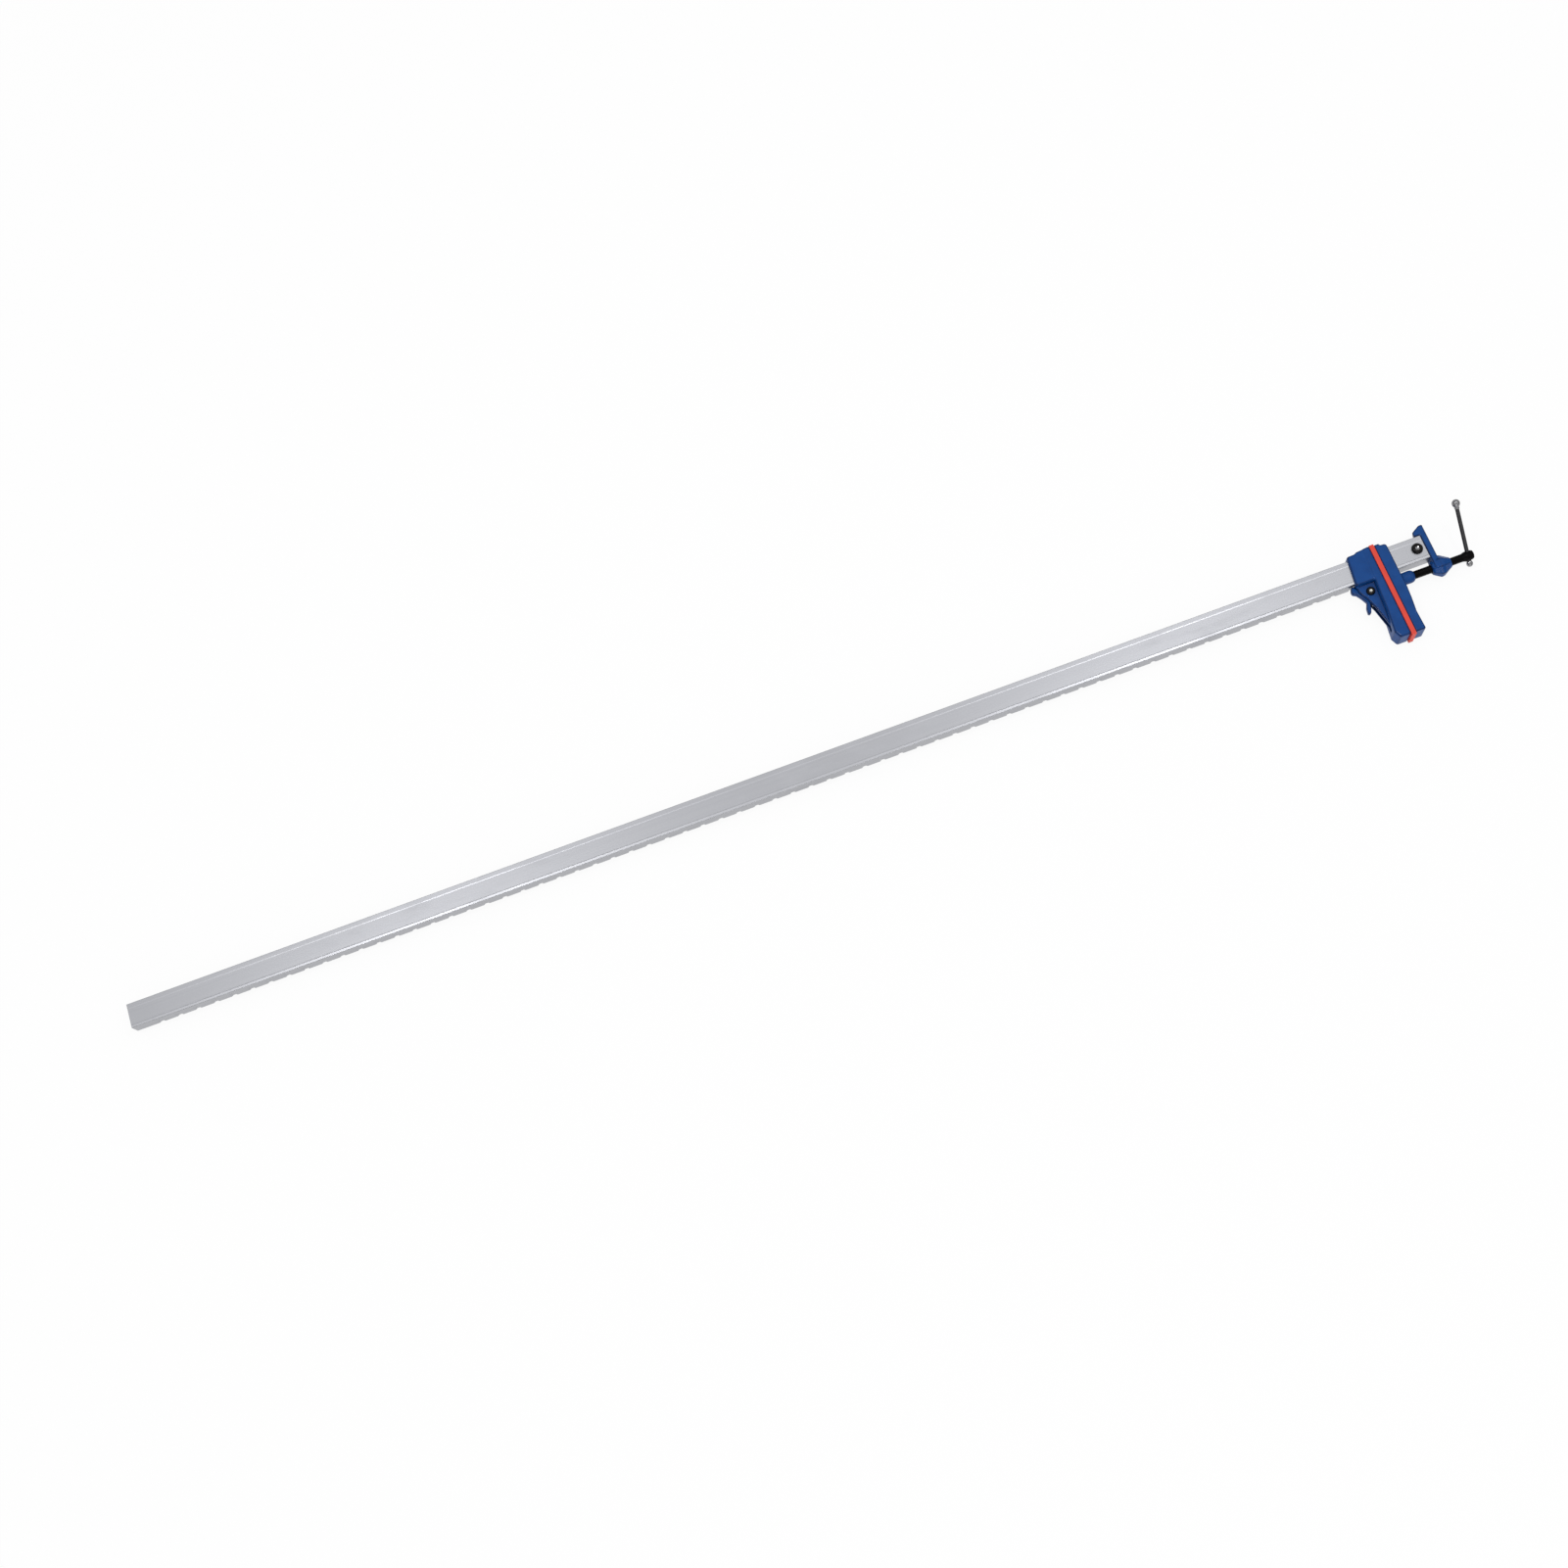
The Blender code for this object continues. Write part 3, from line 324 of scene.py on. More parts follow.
def add_plate(name: str, outline: Outline, low: float, high: float) -> Piece:
    """Add a plate with an outline in X and Y, thick along Z.

    Args:
        name: Name of the object.
        outline: Corners of the outline, in order.
        low: Height of its underside.
        high: Height of its top.

    Returns:
        The object.
    """
    return add_prism(name, [Vector((x, y, low)) for x, y in outline], Vector((0, 0, high - low)))


def add_turned(name: str, profile: Outline, start: Vector, line: Vector, steps: int) -> Piece:
    """Add a solid turned about a line, as on a lathe.

    Args:
        name: Name of the object.
        profile: Places along the line from start, each with its radius.
        start: The point of the line that the places are measured from.
        line: Direction of the line.
        steps: Number of steps round the line.

    Returns:
        The object.
    """
    turn = line.to_track_quat("Z", "Y")
    across = turn @ X_AXIS
    axis = turn @ Z_AXIS
    ends = [(profile[0][0], 0.0), *profile, (profile[-1][0], 0.0)]
    piece = draw_line(name, [start + axis * along + across * radius for along, radius in ends])
    bpy.ops.mesh.select_all(action="SELECT")
    bpy.ops.mesh.spin(steps=steps, angle=2 * math.pi, center=start, axis=axis)
    bpy.ops.mesh.select_all(action="SELECT")
    bpy.ops.mesh.remove_doubles(threshold=MERGE)
    return close_solid(piece)


def apply_modifier(piece: Piece, kind: str, **settings: object) -> Piece:
    """Add a modifier with its settings and apply it.

    Args:
        piece: The object.
        kind: Blender's name for the kind of modifier.
        **settings: Settings of the modifier.

    Returns:
        The same object.
    """
    only(piece)
    step = piece.modifiers.new(kind.lower(), kind)
    for setting, value in settings.items():
        setattr(step, setting, value)
    bpy.ops.object.modifier_apply(modifier=step.name)
    return piece


def work(piece: Piece, how: Solve, *tools: Piece) -> Piece:
    """Work on a piece with tools and use them up.

    Args:
        piece: The piece.
        how: What stays of it.
        *tools: The tools.

    Returns:
        The same piece.
    """
    for tool in tools:
        apply_modifier(piece, "BOOLEAN", operation=how.value, object=tool, solver="EXACT")
        bpy.data.objects.remove(tool)
    return piece


def weld_together(name: str, pieces: Sequence[Piece]) -> Piece:
    """Join objects into one without cutting them.

    Args:
        name: Name of the result.
        pieces: The objects.

    Returns:
        The joined object.
    """
    only(pieces[0])
    for piece in pieces:
        piece.select_set(True)
    bpy.ops.object.join()
    return settle(bpy.context.object, name)


def round_edges(piece: Piece, width: float, segments: int = 3) -> Piece:
    """Round the sharp edges of a piece.

    Args:
        piece: The object.
        width: Width of the rounding.
        segments: Number of facets across it.

    Returns:
        The same object.
    """
    return apply_modifier(
        piece, "BEVEL", width=width, segments=segments, limit_method="ANGLE",
        angle_limit=BEVEL_ANGLE, miter_outer="MITER_ARC",
    )


def select_parts(piece: Piece, kind: Part, chosen: Callable[[object], bool]) -> None:
    """Select what a test picks in the piece that is in edit mode.

    Args:
        piece: The object in edit mode.
        kind: What is picked.
        chosen: The test.
    """
    bpy.ops.mesh.select_mode(type=kind.value)
    bpy.ops.mesh.select_all(action="DESELECT")
    shape = bmesh.from_edit_mesh(piece.data)
    parts = {Part.VERTEX: shape.verts, Part.EDGE: shape.edges, Part.FACE: shape.faces}
    for part in parts[kind]:
        if chosen(part):
            part.select_set(True)
    bmesh.update_edit_mesh(piece.data)


def arc(centre: Point, radius: float, first: float, last: float, steps: int = 5) -> list[Point]:
    """Give points on an arc.

    Args:
        centre: Middle of the arc.
        radius: Its radius.
        first: Angle of its first point, in degrees.
        last: Angle of its last point, in degrees.
        steps: Number of steps between them.

    Returns:
        The points.
    """
    angles = [math.radians(first + (last - first) * step / steps) for step in range(steps + 1)]
    return [(centre[0] + radius * math.cos(a), centre[1] + radius * math.sin(a)) for a in angles]


def millimetres(outline: Outline, origin: Point = (0.0, 0.0)) -> list[Point]:
    """Turn an outline in millimetres into metres, measured from an origin.

    Args:
        outline: Points in millimetres.
        origin: Place of its zero point, in metres.

    Returns:
        The points in metres.
    """
    return [(origin[0] + x * MM, origin[1] + y * MM) for x, y in outline]


# Finishes


def colour(code: str) -> tuple[float, float, float, float]:
    """Turn an sRGB hex colour into the linear one that a socket takes.

    Args:
        code: Six hex digits after a number sign.

    Returns:
        Linear red, green, blue and alpha.
    """
    parts = [int(code[place:place + 2], 16) / 255 for place in (1, 3, 5)]
    linear = [part / 12.92 if part <= 0.04045 else ((part + 0.055) / 1.055) ** 2.4 for part in parts]
    return (*linear, 1.0)


def empty_nodes(owner: bpy.types.ID) -> Nodes:
    """Give a material or a world an empty node tree.

    Args:
        owner: The material or world.

    Returns:
        Its node tree.
    """
    owner.use_nodes = True
    owner.node_tree.nodes.clear()
    return owner.node_tree


def add_node(
    tree: Nodes,
    kind: str,
    settings: dict[str, object] | None = None,
    values: dict[str | int, object] | None = None,
    links: dict[str | int, Socket] | None = None,
) -> bpy.types.Node:
    """Add a node with its settings, its constant inputs and its links.

    Args:
        tree: The node tree.
        kind: Blender's name for the kind of node.
        settings: Properties of the node.
        values: Constant inputs, by name or number.
        links: Sockets that feed its inputs, by name or number.

    Returns:
        The node.
    """
    node = tree.nodes.new(kind)
    for setting, value in (settings or {}).items():
        setattr(node, setting, value)
    for socket, value in (values or {}).items():
        node.inputs[socket].default_value = value
    for socket, source in (links or {}).items():
        tree.links.new(source, node.inputs[socket])
    return node


def even(size: float) -> Vector:
    """Give the cell of a pattern that is as long along each axis."""
    return Vector((size, size, size))


@dataclass(frozen=True)
class Skin:
    """What feeds a finish's shader: its tone, its gloss, its relief from coarse to fine, and constants."""

    tone: Socket
    gloss: Socket
    relief: Sequence[tuple[Socket, float]]
    constants: dict[str, float]


@dataclass(frozen=True, kw_only=True)
class Finish:
    """A material of one Principled shader whose tone, gloss and relief follow patterns."""

    name: str
    roughness: Point
    tone_span: Point = (0.35, 0.65)
    gloss_span: Point = (0.3, 0.7)

    def pattern(self, tree: Nodes, cell: Vector, detail: float, turn: float = 0.0) -> Socket:
        """Add an uneven pattern with cells of a real size.

        Args:
            tree: The node tree.
            cell: Size of a cell along each axis, in metres.
            detail: Number of finer patterns on top of it.
            turn: Turn about X in radians, for a pattern that follows a slanted piece.

        Returns:
            The socket with the pattern.
        """
        place = add_node(tree, "ShaderNodeTexCoord")
        straight = add_node(
            tree, "ShaderNodeMapping", values={"Rotation": (turn, 0, 0)},
            links={"Vector": place.outputs["Object"]},
        )
        counted = add_node(
            tree, "ShaderNodeMapping", values={"Scale": [1 / length for length in cell]},
            links={"Vector": straight.outputs["Vector"]},
        )
        noise = add_node(
            tree, "ShaderNodeTexNoise", values={"Scale": 1.0, "Detail": detail},
            links={"Vector": counted.outputs["Vector"]},
        )
        return noise.outputs["Fac"]

    def blend(
        self,
        tree: Nodes,
        source: Socket,
        span: Point,
        first: str | Socket,
        second: str,
        share: float = 1.0,
    ) -> Socket:
        """Blend one colour into another as a pattern goes through a span.

        Args:
            tree: The node tree.
            source: The pattern.
            span: Its values where the blend starts and ends.
            first: The colour at the start, or the socket that gives it.
            second: The colour at the end.
            share: How much of the second colour there is at the end.

        Returns:
            The socket with the blended colour.
        """
        amount = add_node(
            tree, "ShaderNodeMapRange",
            values={"From Min": span[0], "From Max": span[1], "To Max": share},
            links={"Value": source},
        )
        values = {7: colour(second)}
        links = {0: amount.outputs["Result"]}
        if isinstance(first, str):
            values[6] = colour(first)
        else:
            links[6] = first
        mixed = add_node(
            tree, "ShaderNodeMix", settings={"data_type": "RGBA"}, values=values, links=links
        )
        return mixed.outputs[2]

    def skin(self, tree: Nodes) -> Skin:
        """Add the nodes of the patterns, which each finish has of its own."""
        raise NotImplementedError

    def make(self) -> Material:
        """Build the material: its skin, its shader and its output.

        Returns:
            The material.
        """
        material = bpy.data.materials.new(self.name)
        tree = empty_nodes(material)
        skin = self.skin(tree)
        worn = add_node(
            tree, "ShaderNodeMapRange",
            values={
                "From Min": self.gloss_span[0], "From Max": self.gloss_span[1],
                "To Min": self.roughness[0], "To Max": self.roughness[1],
            },
            links={"Value": skin.gloss},
        )
        below: dict[str, Socket] = {}
        for height, depth in skin.relief:
            raised = add_node(
                tree, "ShaderNodeBump", values={"Distance": depth}, links={"Height": height, **below}
            )
            below = {"Normal": raised.outputs["Normal"]}
        shader = add_node(
            tree, "ShaderNodeBsdfPrincipled", values=skin.constants,
            links={"Base Color": skin.tone, "Roughness": worn.outputs["Result"], **below},
        )
        add_node(tree, "ShaderNodeOutputMaterial", links={"Surface": shader.outputs["BSDF"]})
        return material


@dataclass(frozen=True, kw_only=True)
class AnodisedExtrusion(Finish):
    """Clear-anodised 6063 aluminium as it leaves the die.

    The eye sees a soft, satin grey metal with faint die lines along the bar, slightly uneven in
    tone, and a few dull handling marks.
    """

    name: str = "anodised_aluminium_extrusion"
    light: str = "#ABACB0"
    dark: str = "#A7A8AD"
    roughness: Point = (0.35, 0.43)
    tone_span: Point = (0.3, 0.7)
    gloss_span: Point = (0.50, 0.75)
    line_gap: float = 0.9 * MM      # real die lines are finer; drawn as coarse as they need to show
    line_length: float = 420 * MM
    line_depth: float = 0.0006 * MM
    mark: float = 14 * MM
    mark_stretch: float = 3.0

    def skin(self, tree: Nodes) -> Skin:
        """Lay die lines along the bar, in tone and relief, and marks in the gloss.

        Args:
            tree: The node tree.

        Returns:
            The sockets and constants for the shader.
        """
        lines = self.pattern(tree, Vector((self.line_length, self.line_gap, self.line_gap)), detail=3)
        along = self.mark_stretch * self.mark
        marks = self.pattern(tree, Vector((along, self.mark, self.mark)), detail=4)
        tone = self.blend(tree, lines, self.tone_span, self.dark, self.light)
        return Skin(tone, marks, [(lines, self.line_depth)], {"Metallic": 1.0})


@dataclass(frozen=True, kw_only=True)
class StovedEnamel(Finish):
    """Blue stoving enamel over a sand-cast iron body.

    The eye sees a deep, even blue with a satin gloss. The skin has the slight orange peel of the
    paint over the grain of the casting. The rounded edges are darkened as painted shade, and the
    inner corners are darkened as painted shade too.
    """

    name: str = "blue_stoved_enamel"
    body: str = "#0D4384"
    shade: str = "#0A3E7C"
    # Painted shade: near-black navy laid on the rounded edges, standing in for the shade and dark
    # reflections on the rims.
    edge: str = "#07163A"
    rim_shade_span: Point = (0.504, 0.525)
    rim_shade_share: float = 0.85
    # Painted shade: dark navy laid in the inner corners, standing in for the shade that falls there.
    corner: str = "#071B42"
    crease_shade_span: Point = (0.496, 0.470)
    crease_shade_share: float = 0.8
    roughness: Point = (0.36, 0.46)
    ior: float = 1.5
    specular: float = 0.05
    gloss: float = 0.25
    gloss_roughness: float = 0.16
    flow: float = 11 * MM
    peel: float = 1.1 * MM
    peel_depth: float = 0.02 * MM
    grain: float = 3.2 * MM
    grain_depth: float = 0.10 * MM

    def skin(self, tree: Nodes) -> Skin:
        """Lay the tone, the painted shade on edges and in inner corners, the peel and the grain.

        Args:
            tree: The node tree.

        Returns:
            The sockets and constants for the shader.
        """
        flow = self.pattern(tree, even(self.flow), detail=2)
        peel = self.pattern(tree, even(self.peel), detail=1)
        grain = self.pattern(tree, even(self.grain), detail=3)
        bend = add_node(tree, "ShaderNodeNewGeometry").outputs["Pointiness"]
        tone = self.blend(tree, flow, self.tone_span, self.shade, self.body)
        # Painted shade: darken the rounded edges by pointiness.
        rim_shaded = self.blend(tree, bend, self.rim_shade_span, tone, self.edge, self.rim_shade_share)
        # Painted shade: darken the inner corners by pointiness.
        crease_shaded = self.blend(tree, bend, self.crease_shade_span, rim_shaded, self.corner, self.crease_shade_share)
        return Skin(crease_shaded, peel, [(grain, self.grain_depth), (peel, self.peel_depth)], {
            "IOR": self.ior, "Specular IOR Level": self.specular,
            "Coat Weight": self.gloss, "Coat Roughness": self.gloss_roughness,
        })


@dataclass(frozen=True, kw_only=True)
class MouldedNylon(Finish):
    """Injection-moulded nylon with a fine spark-eroded grain.

    The eye sees an even colour with a soft, broad sheen, a little duller where it has rubbed.
    """

    body: str
    shade: str
    roughness: Point = (0.40, 0.50)
    ior: float = 1.53
    specular: float = 0.25
    flow: float = 9 * MM
    grain: float = 0.5 * MM
    grain_depth: float = 0.015 * MM

    def skin(self, tree: Nodes) -> Skin:
        """Lay a slow flow in tone and gloss, and the grain of the mould.

        Args:
            tree: The node tree.

        Returns:
            The sockets and constants for the shader.
        """
        flow = self.pattern(tree, even(self.flow), detail=2)
        grain = self.pattern(tree, even(self.grain), detail=1)
        tone = self.blend(tree, flow, self.tone_span, self.shade, self.body)
        constants = {"IOR": self.ior, "Specular IOR Level": self.specular}
        return Skin(tone, flow, [(grain, self.grain_depth)], constants)


@dataclass(frozen=True, kw_only=True)
class WorkedSteel(Finish):
    """Turned, rolled or drawn steel with a thin plated or chemical skin.

    The eye sees a metal whose tone drifts a little in patches, with fine tool lines that follow
    the way it was worked. An oiled skin also has a clear film that catches the lamps.
    """

    body: str
    drift: str
    patch: float
    tool_line: Vector
    line_depth: float = 0.004 * MM
    turn: float = 0.0
    oil: float = 0.0
    oil_roughness: float = 0.12

    def skin(self, tree: Nodes) -> Skin:
        """Lay patches in the tone, and tool lines in gloss and relief.

        Args:
            tree: The node tree.

        Returns:
            The sockets and constants for the shader.
        """
        patches = self.pattern(tree, even(self.patch), detail=3)
        lines = self.pattern(tree, self.tool_line, detail=2, turn=self.turn)
        tone = self.blend(tree, patches, self.tone_span, self.body, self.drift)
        constants = {"Metallic": 1.0, "Coat Weight": self.oil, "Coat Roughness": self.oil_roughness}
        return Skin(tone, lines, [(lines, self.line_depth)], constants)


def make_finishes() -> dict[Slot | str, Material]:
    """Make every finish of the clamp.

    Returns:
        The material of each slot, and the dry black of the screw.
    """
    tool_gap = 0.4 * MM
    turned_length = 8 * MM
    drawn_length = 60 * MM
    turned = Vector((tool_gap, turned_length, turned_length))
    drawn = Vector((tool_gap, drawn_length, tool_gap))
    buffed = even(1 * MM)
    finishes = {
        Slot.ALUMINIUM: AnodisedExtrusion(),
        Slot.ENAMEL: StovedEnamel(),
        Slot.PAD: MouldedNylon(name="red_moulded_nylon", body="#DC4636", shade="#D34132"),
        Slot.PLUG: MouldedNylon(
            name="black_moulded_nylon", body="#1B1C1E", shade="#151517", roughness=(0.45, 0.6)
        ),
        # Black oxide on machined steel under a film of oil: near black, faintly brown where it dried.
        Slot.BLACK_STEEL: WorkedSteel(
            name="black_oxide_steel", body="#131213", drift="#181514", roughness=(0.24, 0.34),
            patch=5 * MM, tool_line=turned, oil=0.25,
        ),
        # The same oxide wiped dry, on the screw and its hub: dead black, its crests shine a little.
        DRY_BLACK: WorkedSteel(
            name="dry_black_oxide_steel", body="#121213", drift="#161414", roughness=(0.32, 0.46),
            patch=5 * MM, tool_line=turned,
        ),
        # Drawn rod under a dark nickel plate: smooth along its length, dark grey.
        Slot.ROD: WorkedSteel(
            name="dark_nickel_rod", body="#4A4A4B", drift="#434345", roughness=(0.24, 0.34),
            patch=7 * MM, tool_line=drawn, turn=-TOMMY_TILT,
        ),
        # Polished chrome over turned steel: mirror bright, faint polishing haze.
        Slot.CHROME: WorkedSteel(
            name="polished_chrome", body="#8E8E90", drift="#868688", roughness=(0.06, 0.12),
            patch=3 * MM, tool_line=buffed, line_depth=0.001 * MM,
        ),
        # Zinc plate, clear passivated: bright grey with a cool and warm drift.
        Slot.ZINC: WorkedSteel(
            name="zinc_plated_steel", body="#BDBFC2", drift="#BCB8AA", roughness=(0.28, 0.42),
            patch=2 * MM, tool_line=buffed,
        ),
    }
    return {key: finish.make() for key, finish in finishes.items()}


# The clamp


@dataclass(frozen=True)
class Datum:
    """The lines that the clamp is laid out from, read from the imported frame."""

    bar_low: Vector
    bar_high: Vector
    tail_face: float
    screw_face: float
    jaw_half: float
    screw_y: float
    pivot: Vector
    tommy: Vector

    @classmethod
    def read(cls) -> "Datum":
        """Read the lines from the boxes of the CAD nodes and from the joints.

        Returns:
            The lines.
        """
        bar_low, bar_high, bar_middle = node_box("bar")
        tail_low, tail_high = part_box("tail_jaw")
        screw_y = node_box("thrust_washer")[2].y
        joints = {joint["name"]: joint for joint in frame["joints"]}
        return cls(
            bar_low=bar_low,
            bar_high=bar_high,
            tail_face=tail_high.x,
            screw_face=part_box("screw_jaw")[0].x,
            jaw_half=(tail_high.z - tail_low.z) / 2,
            screw_y=screw_y,
            pivot=Vector(joints["dog_pivot"]["pos_m"]),
            tommy=Vector((node_box("tommy_rod")[2].x, screw_y, bar_middle.z)),
        )

    @property
    def mid_y(self) -> float:
        """Middle of the bar's height."""
        return (self.bar_low.y + self.bar_high.y) / 2

    @property
    def mid_z(self) -> float:
        """Middle of the bar's depth, which is the clamp's plane of symmetry."""
        return (self.bar_low.z + self.bar_high.z) / 2

    def screw_point(self, x: float) -> Vector:
        """Give the point of the screw's axis at a place along the bar."""
        return Vector((x, self.screw_y, self.mid_z))


@dataclass
class Assembly:
    """A sub-assembly: what it is laid out from and what it is painted with."""

    datum: Datum
    finishes: dict[Slot | str, Material]

    def build(self) -> None:
        """Build and dress the pieces, which each sub-assembly has of its own."""
        raise NotImplementedError

    def passage(self, name: str, low_x: float, high_x: float) -> Piece:
        """Model the cutter for the hole that the bar runs through.

        Args:
            name: Name of the cutter.
            low_x: Where the hole starts.
            high_x: Where it ends.

        Returns:
            The cutter.
        """
        gap = Vector((0, BAR_PLAY, BAR_PLAY))
        low = Vector((low_x - PAST, self.datum.bar_low.y, self.datum.bar_low.z)) - gap
        high = Vector((high_x + PAST, self.datum.bar_high.y, self.datum.bar_high.z)) + gap
        return add_box(name, low, high)

    def dress(
        self,
        piece: Piece,
        body: Body,
        slot: Slot,
        *stands_for: str,
        look: str | None = None,
        angle: float = SMOOTH_ANGLE,
    ) -> Piece:
        """Shade and paint a finished piece and hang it on its body.

        Args:
            piece: The finished object.
            body: The body that it moves with.
            slot: The record's slot that it takes its finish from.
            *stands_for: CAD nodes that it is shown in place of.
            look: The finish that it gets where the slot has more than one.
            angle: Steepest angle between faces that are shaded as one.

        Returns:
            The same object.
        """
        only(piece)
        bpy.ops.object.shade_smooth_by_angle(angle=angle)
        apply_modifier(piece, "WEIGHTED_NORMAL", keep_sharp=True)
        piece.data.materials.clear()
        piece.data.materials.append(self.finishes[look or slot])
        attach(piece, body.value)
        if stands_for:
            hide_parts(*stands_for)
        LOG.info("%s: %d faces on %s", piece.name, len(piece.data.polygons), body.value)
        return piece


@dataclass
class Casting(Assembly):
    """A sub-assembly with a sand casting."""

    grain: float = 0.5 * MM
    passes: int = 8
    smoothing: float = 0.5

    def slab(self, name: str, outline: Outline, origin_x: float, half: float, edge: float) -> Piece:
        """Model a plate with round edges that lies evenly about the clamp's middle plane.

        Args:
            name: Name of the plate.
            outline: Its corners in millimetres, from the middle of the bar's height.
            origin_x: Place of its zero point along the bar.
            half: Half its thickness.
            edge: Width of the rounding.

        Returns:
            The plate.
        """
        corners = millimetres(outline, (origin_x, self.datum.mid_y))
        middle = self.datum.mid_z
        return round_edges(add_plate(name, corners, middle - half, middle + half), edge)

    def cast(self, name: str, *lumps: Piece) -> Piece:
        """Melt overlapping lumps into one body with the soft edges of a sand casting.

        Args:
            name: Name of the casting.
            *lumps: The solids that it is made of.

        Returns:
            The casting.
        """
        body = weld_together(name, lumps)
        apply_modifier(body, "REMESH", mode="VOXEL", voxel_size=self.grain, use_smooth_shade=True)
        return apply_modifier(body, "SMOOTH", factor=self.smoothing, iterations=self.passes)


@dataclass
class NotchedBar(Assembly):
    """The hollow bar with recessed sides and a row of notches, and the plug in its open end."""

    wall: float = 2.4 * MM
    corner: float = 0.6 * MM
    corner_steps: int = 16
    recess: float = 0.12 * MM
    recess_slope: float = 1.0 * MM
    top_band: float = 5.3 * MM
    low_band: float = 2.8 * MM
    band_fall: float = 0.19 * MM
    smooth_angle: float = math.radians(6.2)
    notch_mouth: float = 7.0 * MM
    notch_floor: float = 3.0 * MM
    notch_bite: float = 1.4 * MM
    notch_land: float = 5.6 * MM
    notch_pitch: float = 22 * MM
    last_notch: float = 93.4 * MM
    least_plain: float = 20 * MM
    bolt_inset: float = 9.6 * MM
    bolt_hole: float = 4.3 * MM
    deburr: float = 0.25 * MM
    plug_corner: float = 0.8 * MM
    plug_dish: float = 1.2 * MM
    plug_rim: float = 1.8 * MM

    def shape_sides(self, bar: Piece) -> None:
        """Round the long edges, sink the flat of each side and tilt the band below it inwards.

        Args:
            bar: The plain box of the bar.
        """
        low, high = self.datum.bar_low, self.datum.bar_high
        half = (high - low).x / 2
        bpy.ops.object.mode_set(mode="EDIT")
        select_parts(bar, Part.EDGE, lambda edge: abs(edge.verts[1].co.x - edge.verts[0].co.x) > half)
        bpy.ops.mesh.bevel(offset=self.corner, segments=self.corner_steps)
        steps = (
            high.y - self.top_band, high.y - self.top_band - self.recess_slope,
            low.y + self.low_band + self.recess_slope, low.y + self.low_band,
        )
        for step in steps:
            bpy.ops.mesh.select_all(action="SELECT")
            bpy.ops.mesh.bisect(plane_co=(0, step, 0), plane_no=Y_AXIS)
        for side in (-1, 1):

            def in_recess(face: bmesh.types.BMFace, side: int = side) -> bool:
                """Tell whether a face is in the flat between the bands of this side."""
                middle = face.calc_center_median().y
                return face.normal.z * side > FACING and steps[2] < middle < steps[1]

            def on_low_edge(vertex: bmesh.types.BMVert, side: int = side) -> bool:
                """Tell whether a vertex is on the outer edge of this side's lower band."""
                out = (vertex.co.z - self.datum.mid_z) * side
                return out > 0 and vertex.co.y < steps[3] - MERGE

            moves = ((Part.FACE, in_recess, self.recess), (Part.VERTEX, on_low_edge, self.band_fall))
            for kind, chosen, depth in moves:
                select_parts(bar, kind, chosen)
                bpy.ops.transform.translate(value=(0, 0, -side * depth))
        bpy.ops.object.mode_set(mode="OBJECT")

    def model_bar(self) -> Piece:
        """Model the extrusion: its sides, its bore, its notches and its bolt hole.

        Returns:
            The bar.
        """
        low, high = self.datum.bar_low, self.datum.bar_high
        bar = add_box("bar_extrusion", low, high)
        self.shape_sides(bar)
        round_edges(bar, self.deburr, 2)
        inner = Vector((-PAST, self.wall, self.wall))
        bore = round_edges(add_box("bar_bore", low + inner, high - inner), self.corner / 2)
        place = (high.x - self.bolt_inset, self.datum.mid_y)
        hole = add_drill("bolt_hole", place, low.z, high.z, self.bolt_hole)
        return work(bar, Solve.CUT, bore, self.model_notches(), hole)

    def model_notches(self) -> Piece:
        """Model one notch cutter, wider at its mouth, and repeat it along the bar.

        Returns:
            The cutters.
        """
        low, high = self.datum.bar_low, self.datum.bar_high
        last = high.x - self.last_notch
        count = int((last - low.x - self.least_plain) / self.notch_pitch) + 1
        half_floor = self.notch_floor / 2
        spread = (self.notch_mouth / 2 - half_floor) * (PAST + self.notch_bite) / self.notch_bite
        outline = [
            (last - half_floor - spread, low.y - PAST),
            (last + half_floor + spread, low.y - PAST),
            (last + half_floor, low.y + self.notch_bite),
            (last - half_floor, low.y + self.notch_bite),
        ]
        notch = add_plate("notches", outline, low.z - PAST, high.z - self.notch_land)
        return apply_modifier(
            notch, "ARRAY", count=count, use_relative_offset=False, use_constant_offset=True,
            constant_offset_displace=(-self.notch_pitch, 0, 0),
        )

    def model_plug(self) -> Piece:
        """Model the end plug: a snug block with a dished face.

        Returns:
            The plug.
        """
        plug = add_box("bar_plug", *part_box("bar_end_plug"))
        bpy.ops.object.mode_set(mode="EDIT")
        select_parts(plug, Part.FACE, lambda face: face.normal.x < -FACING)
        bpy.ops.mesh.inset(thickness=self.plug_rim)
        bpy.ops.mesh.inset(thickness=self.plug_dish / 2, depth=-self.plug_dish)
        bpy.ops.object.mode_set(mode="OBJECT")
        return round_edges(plug, self.plug_corner / 2)

    def build(self) -> None:
        """Build and dress the bar and its plug."""
        self.dress(self.model_bar(), Body.BAR, Slot.ALUMINIUM, "bar", angle=self.smooth_angle)
        self.dress(self.model_plug(), Body.BAR, Slot.PLUG, "bar_end_plug")


@dataclass(frozen=True)
class BoltSize:
    """A button-head bolt with its nut: the word its names start with, its body and its sizes."""

    word: str
    body: Body
    shank: float
    height: float
    nut_bore: float
    floor: Slot


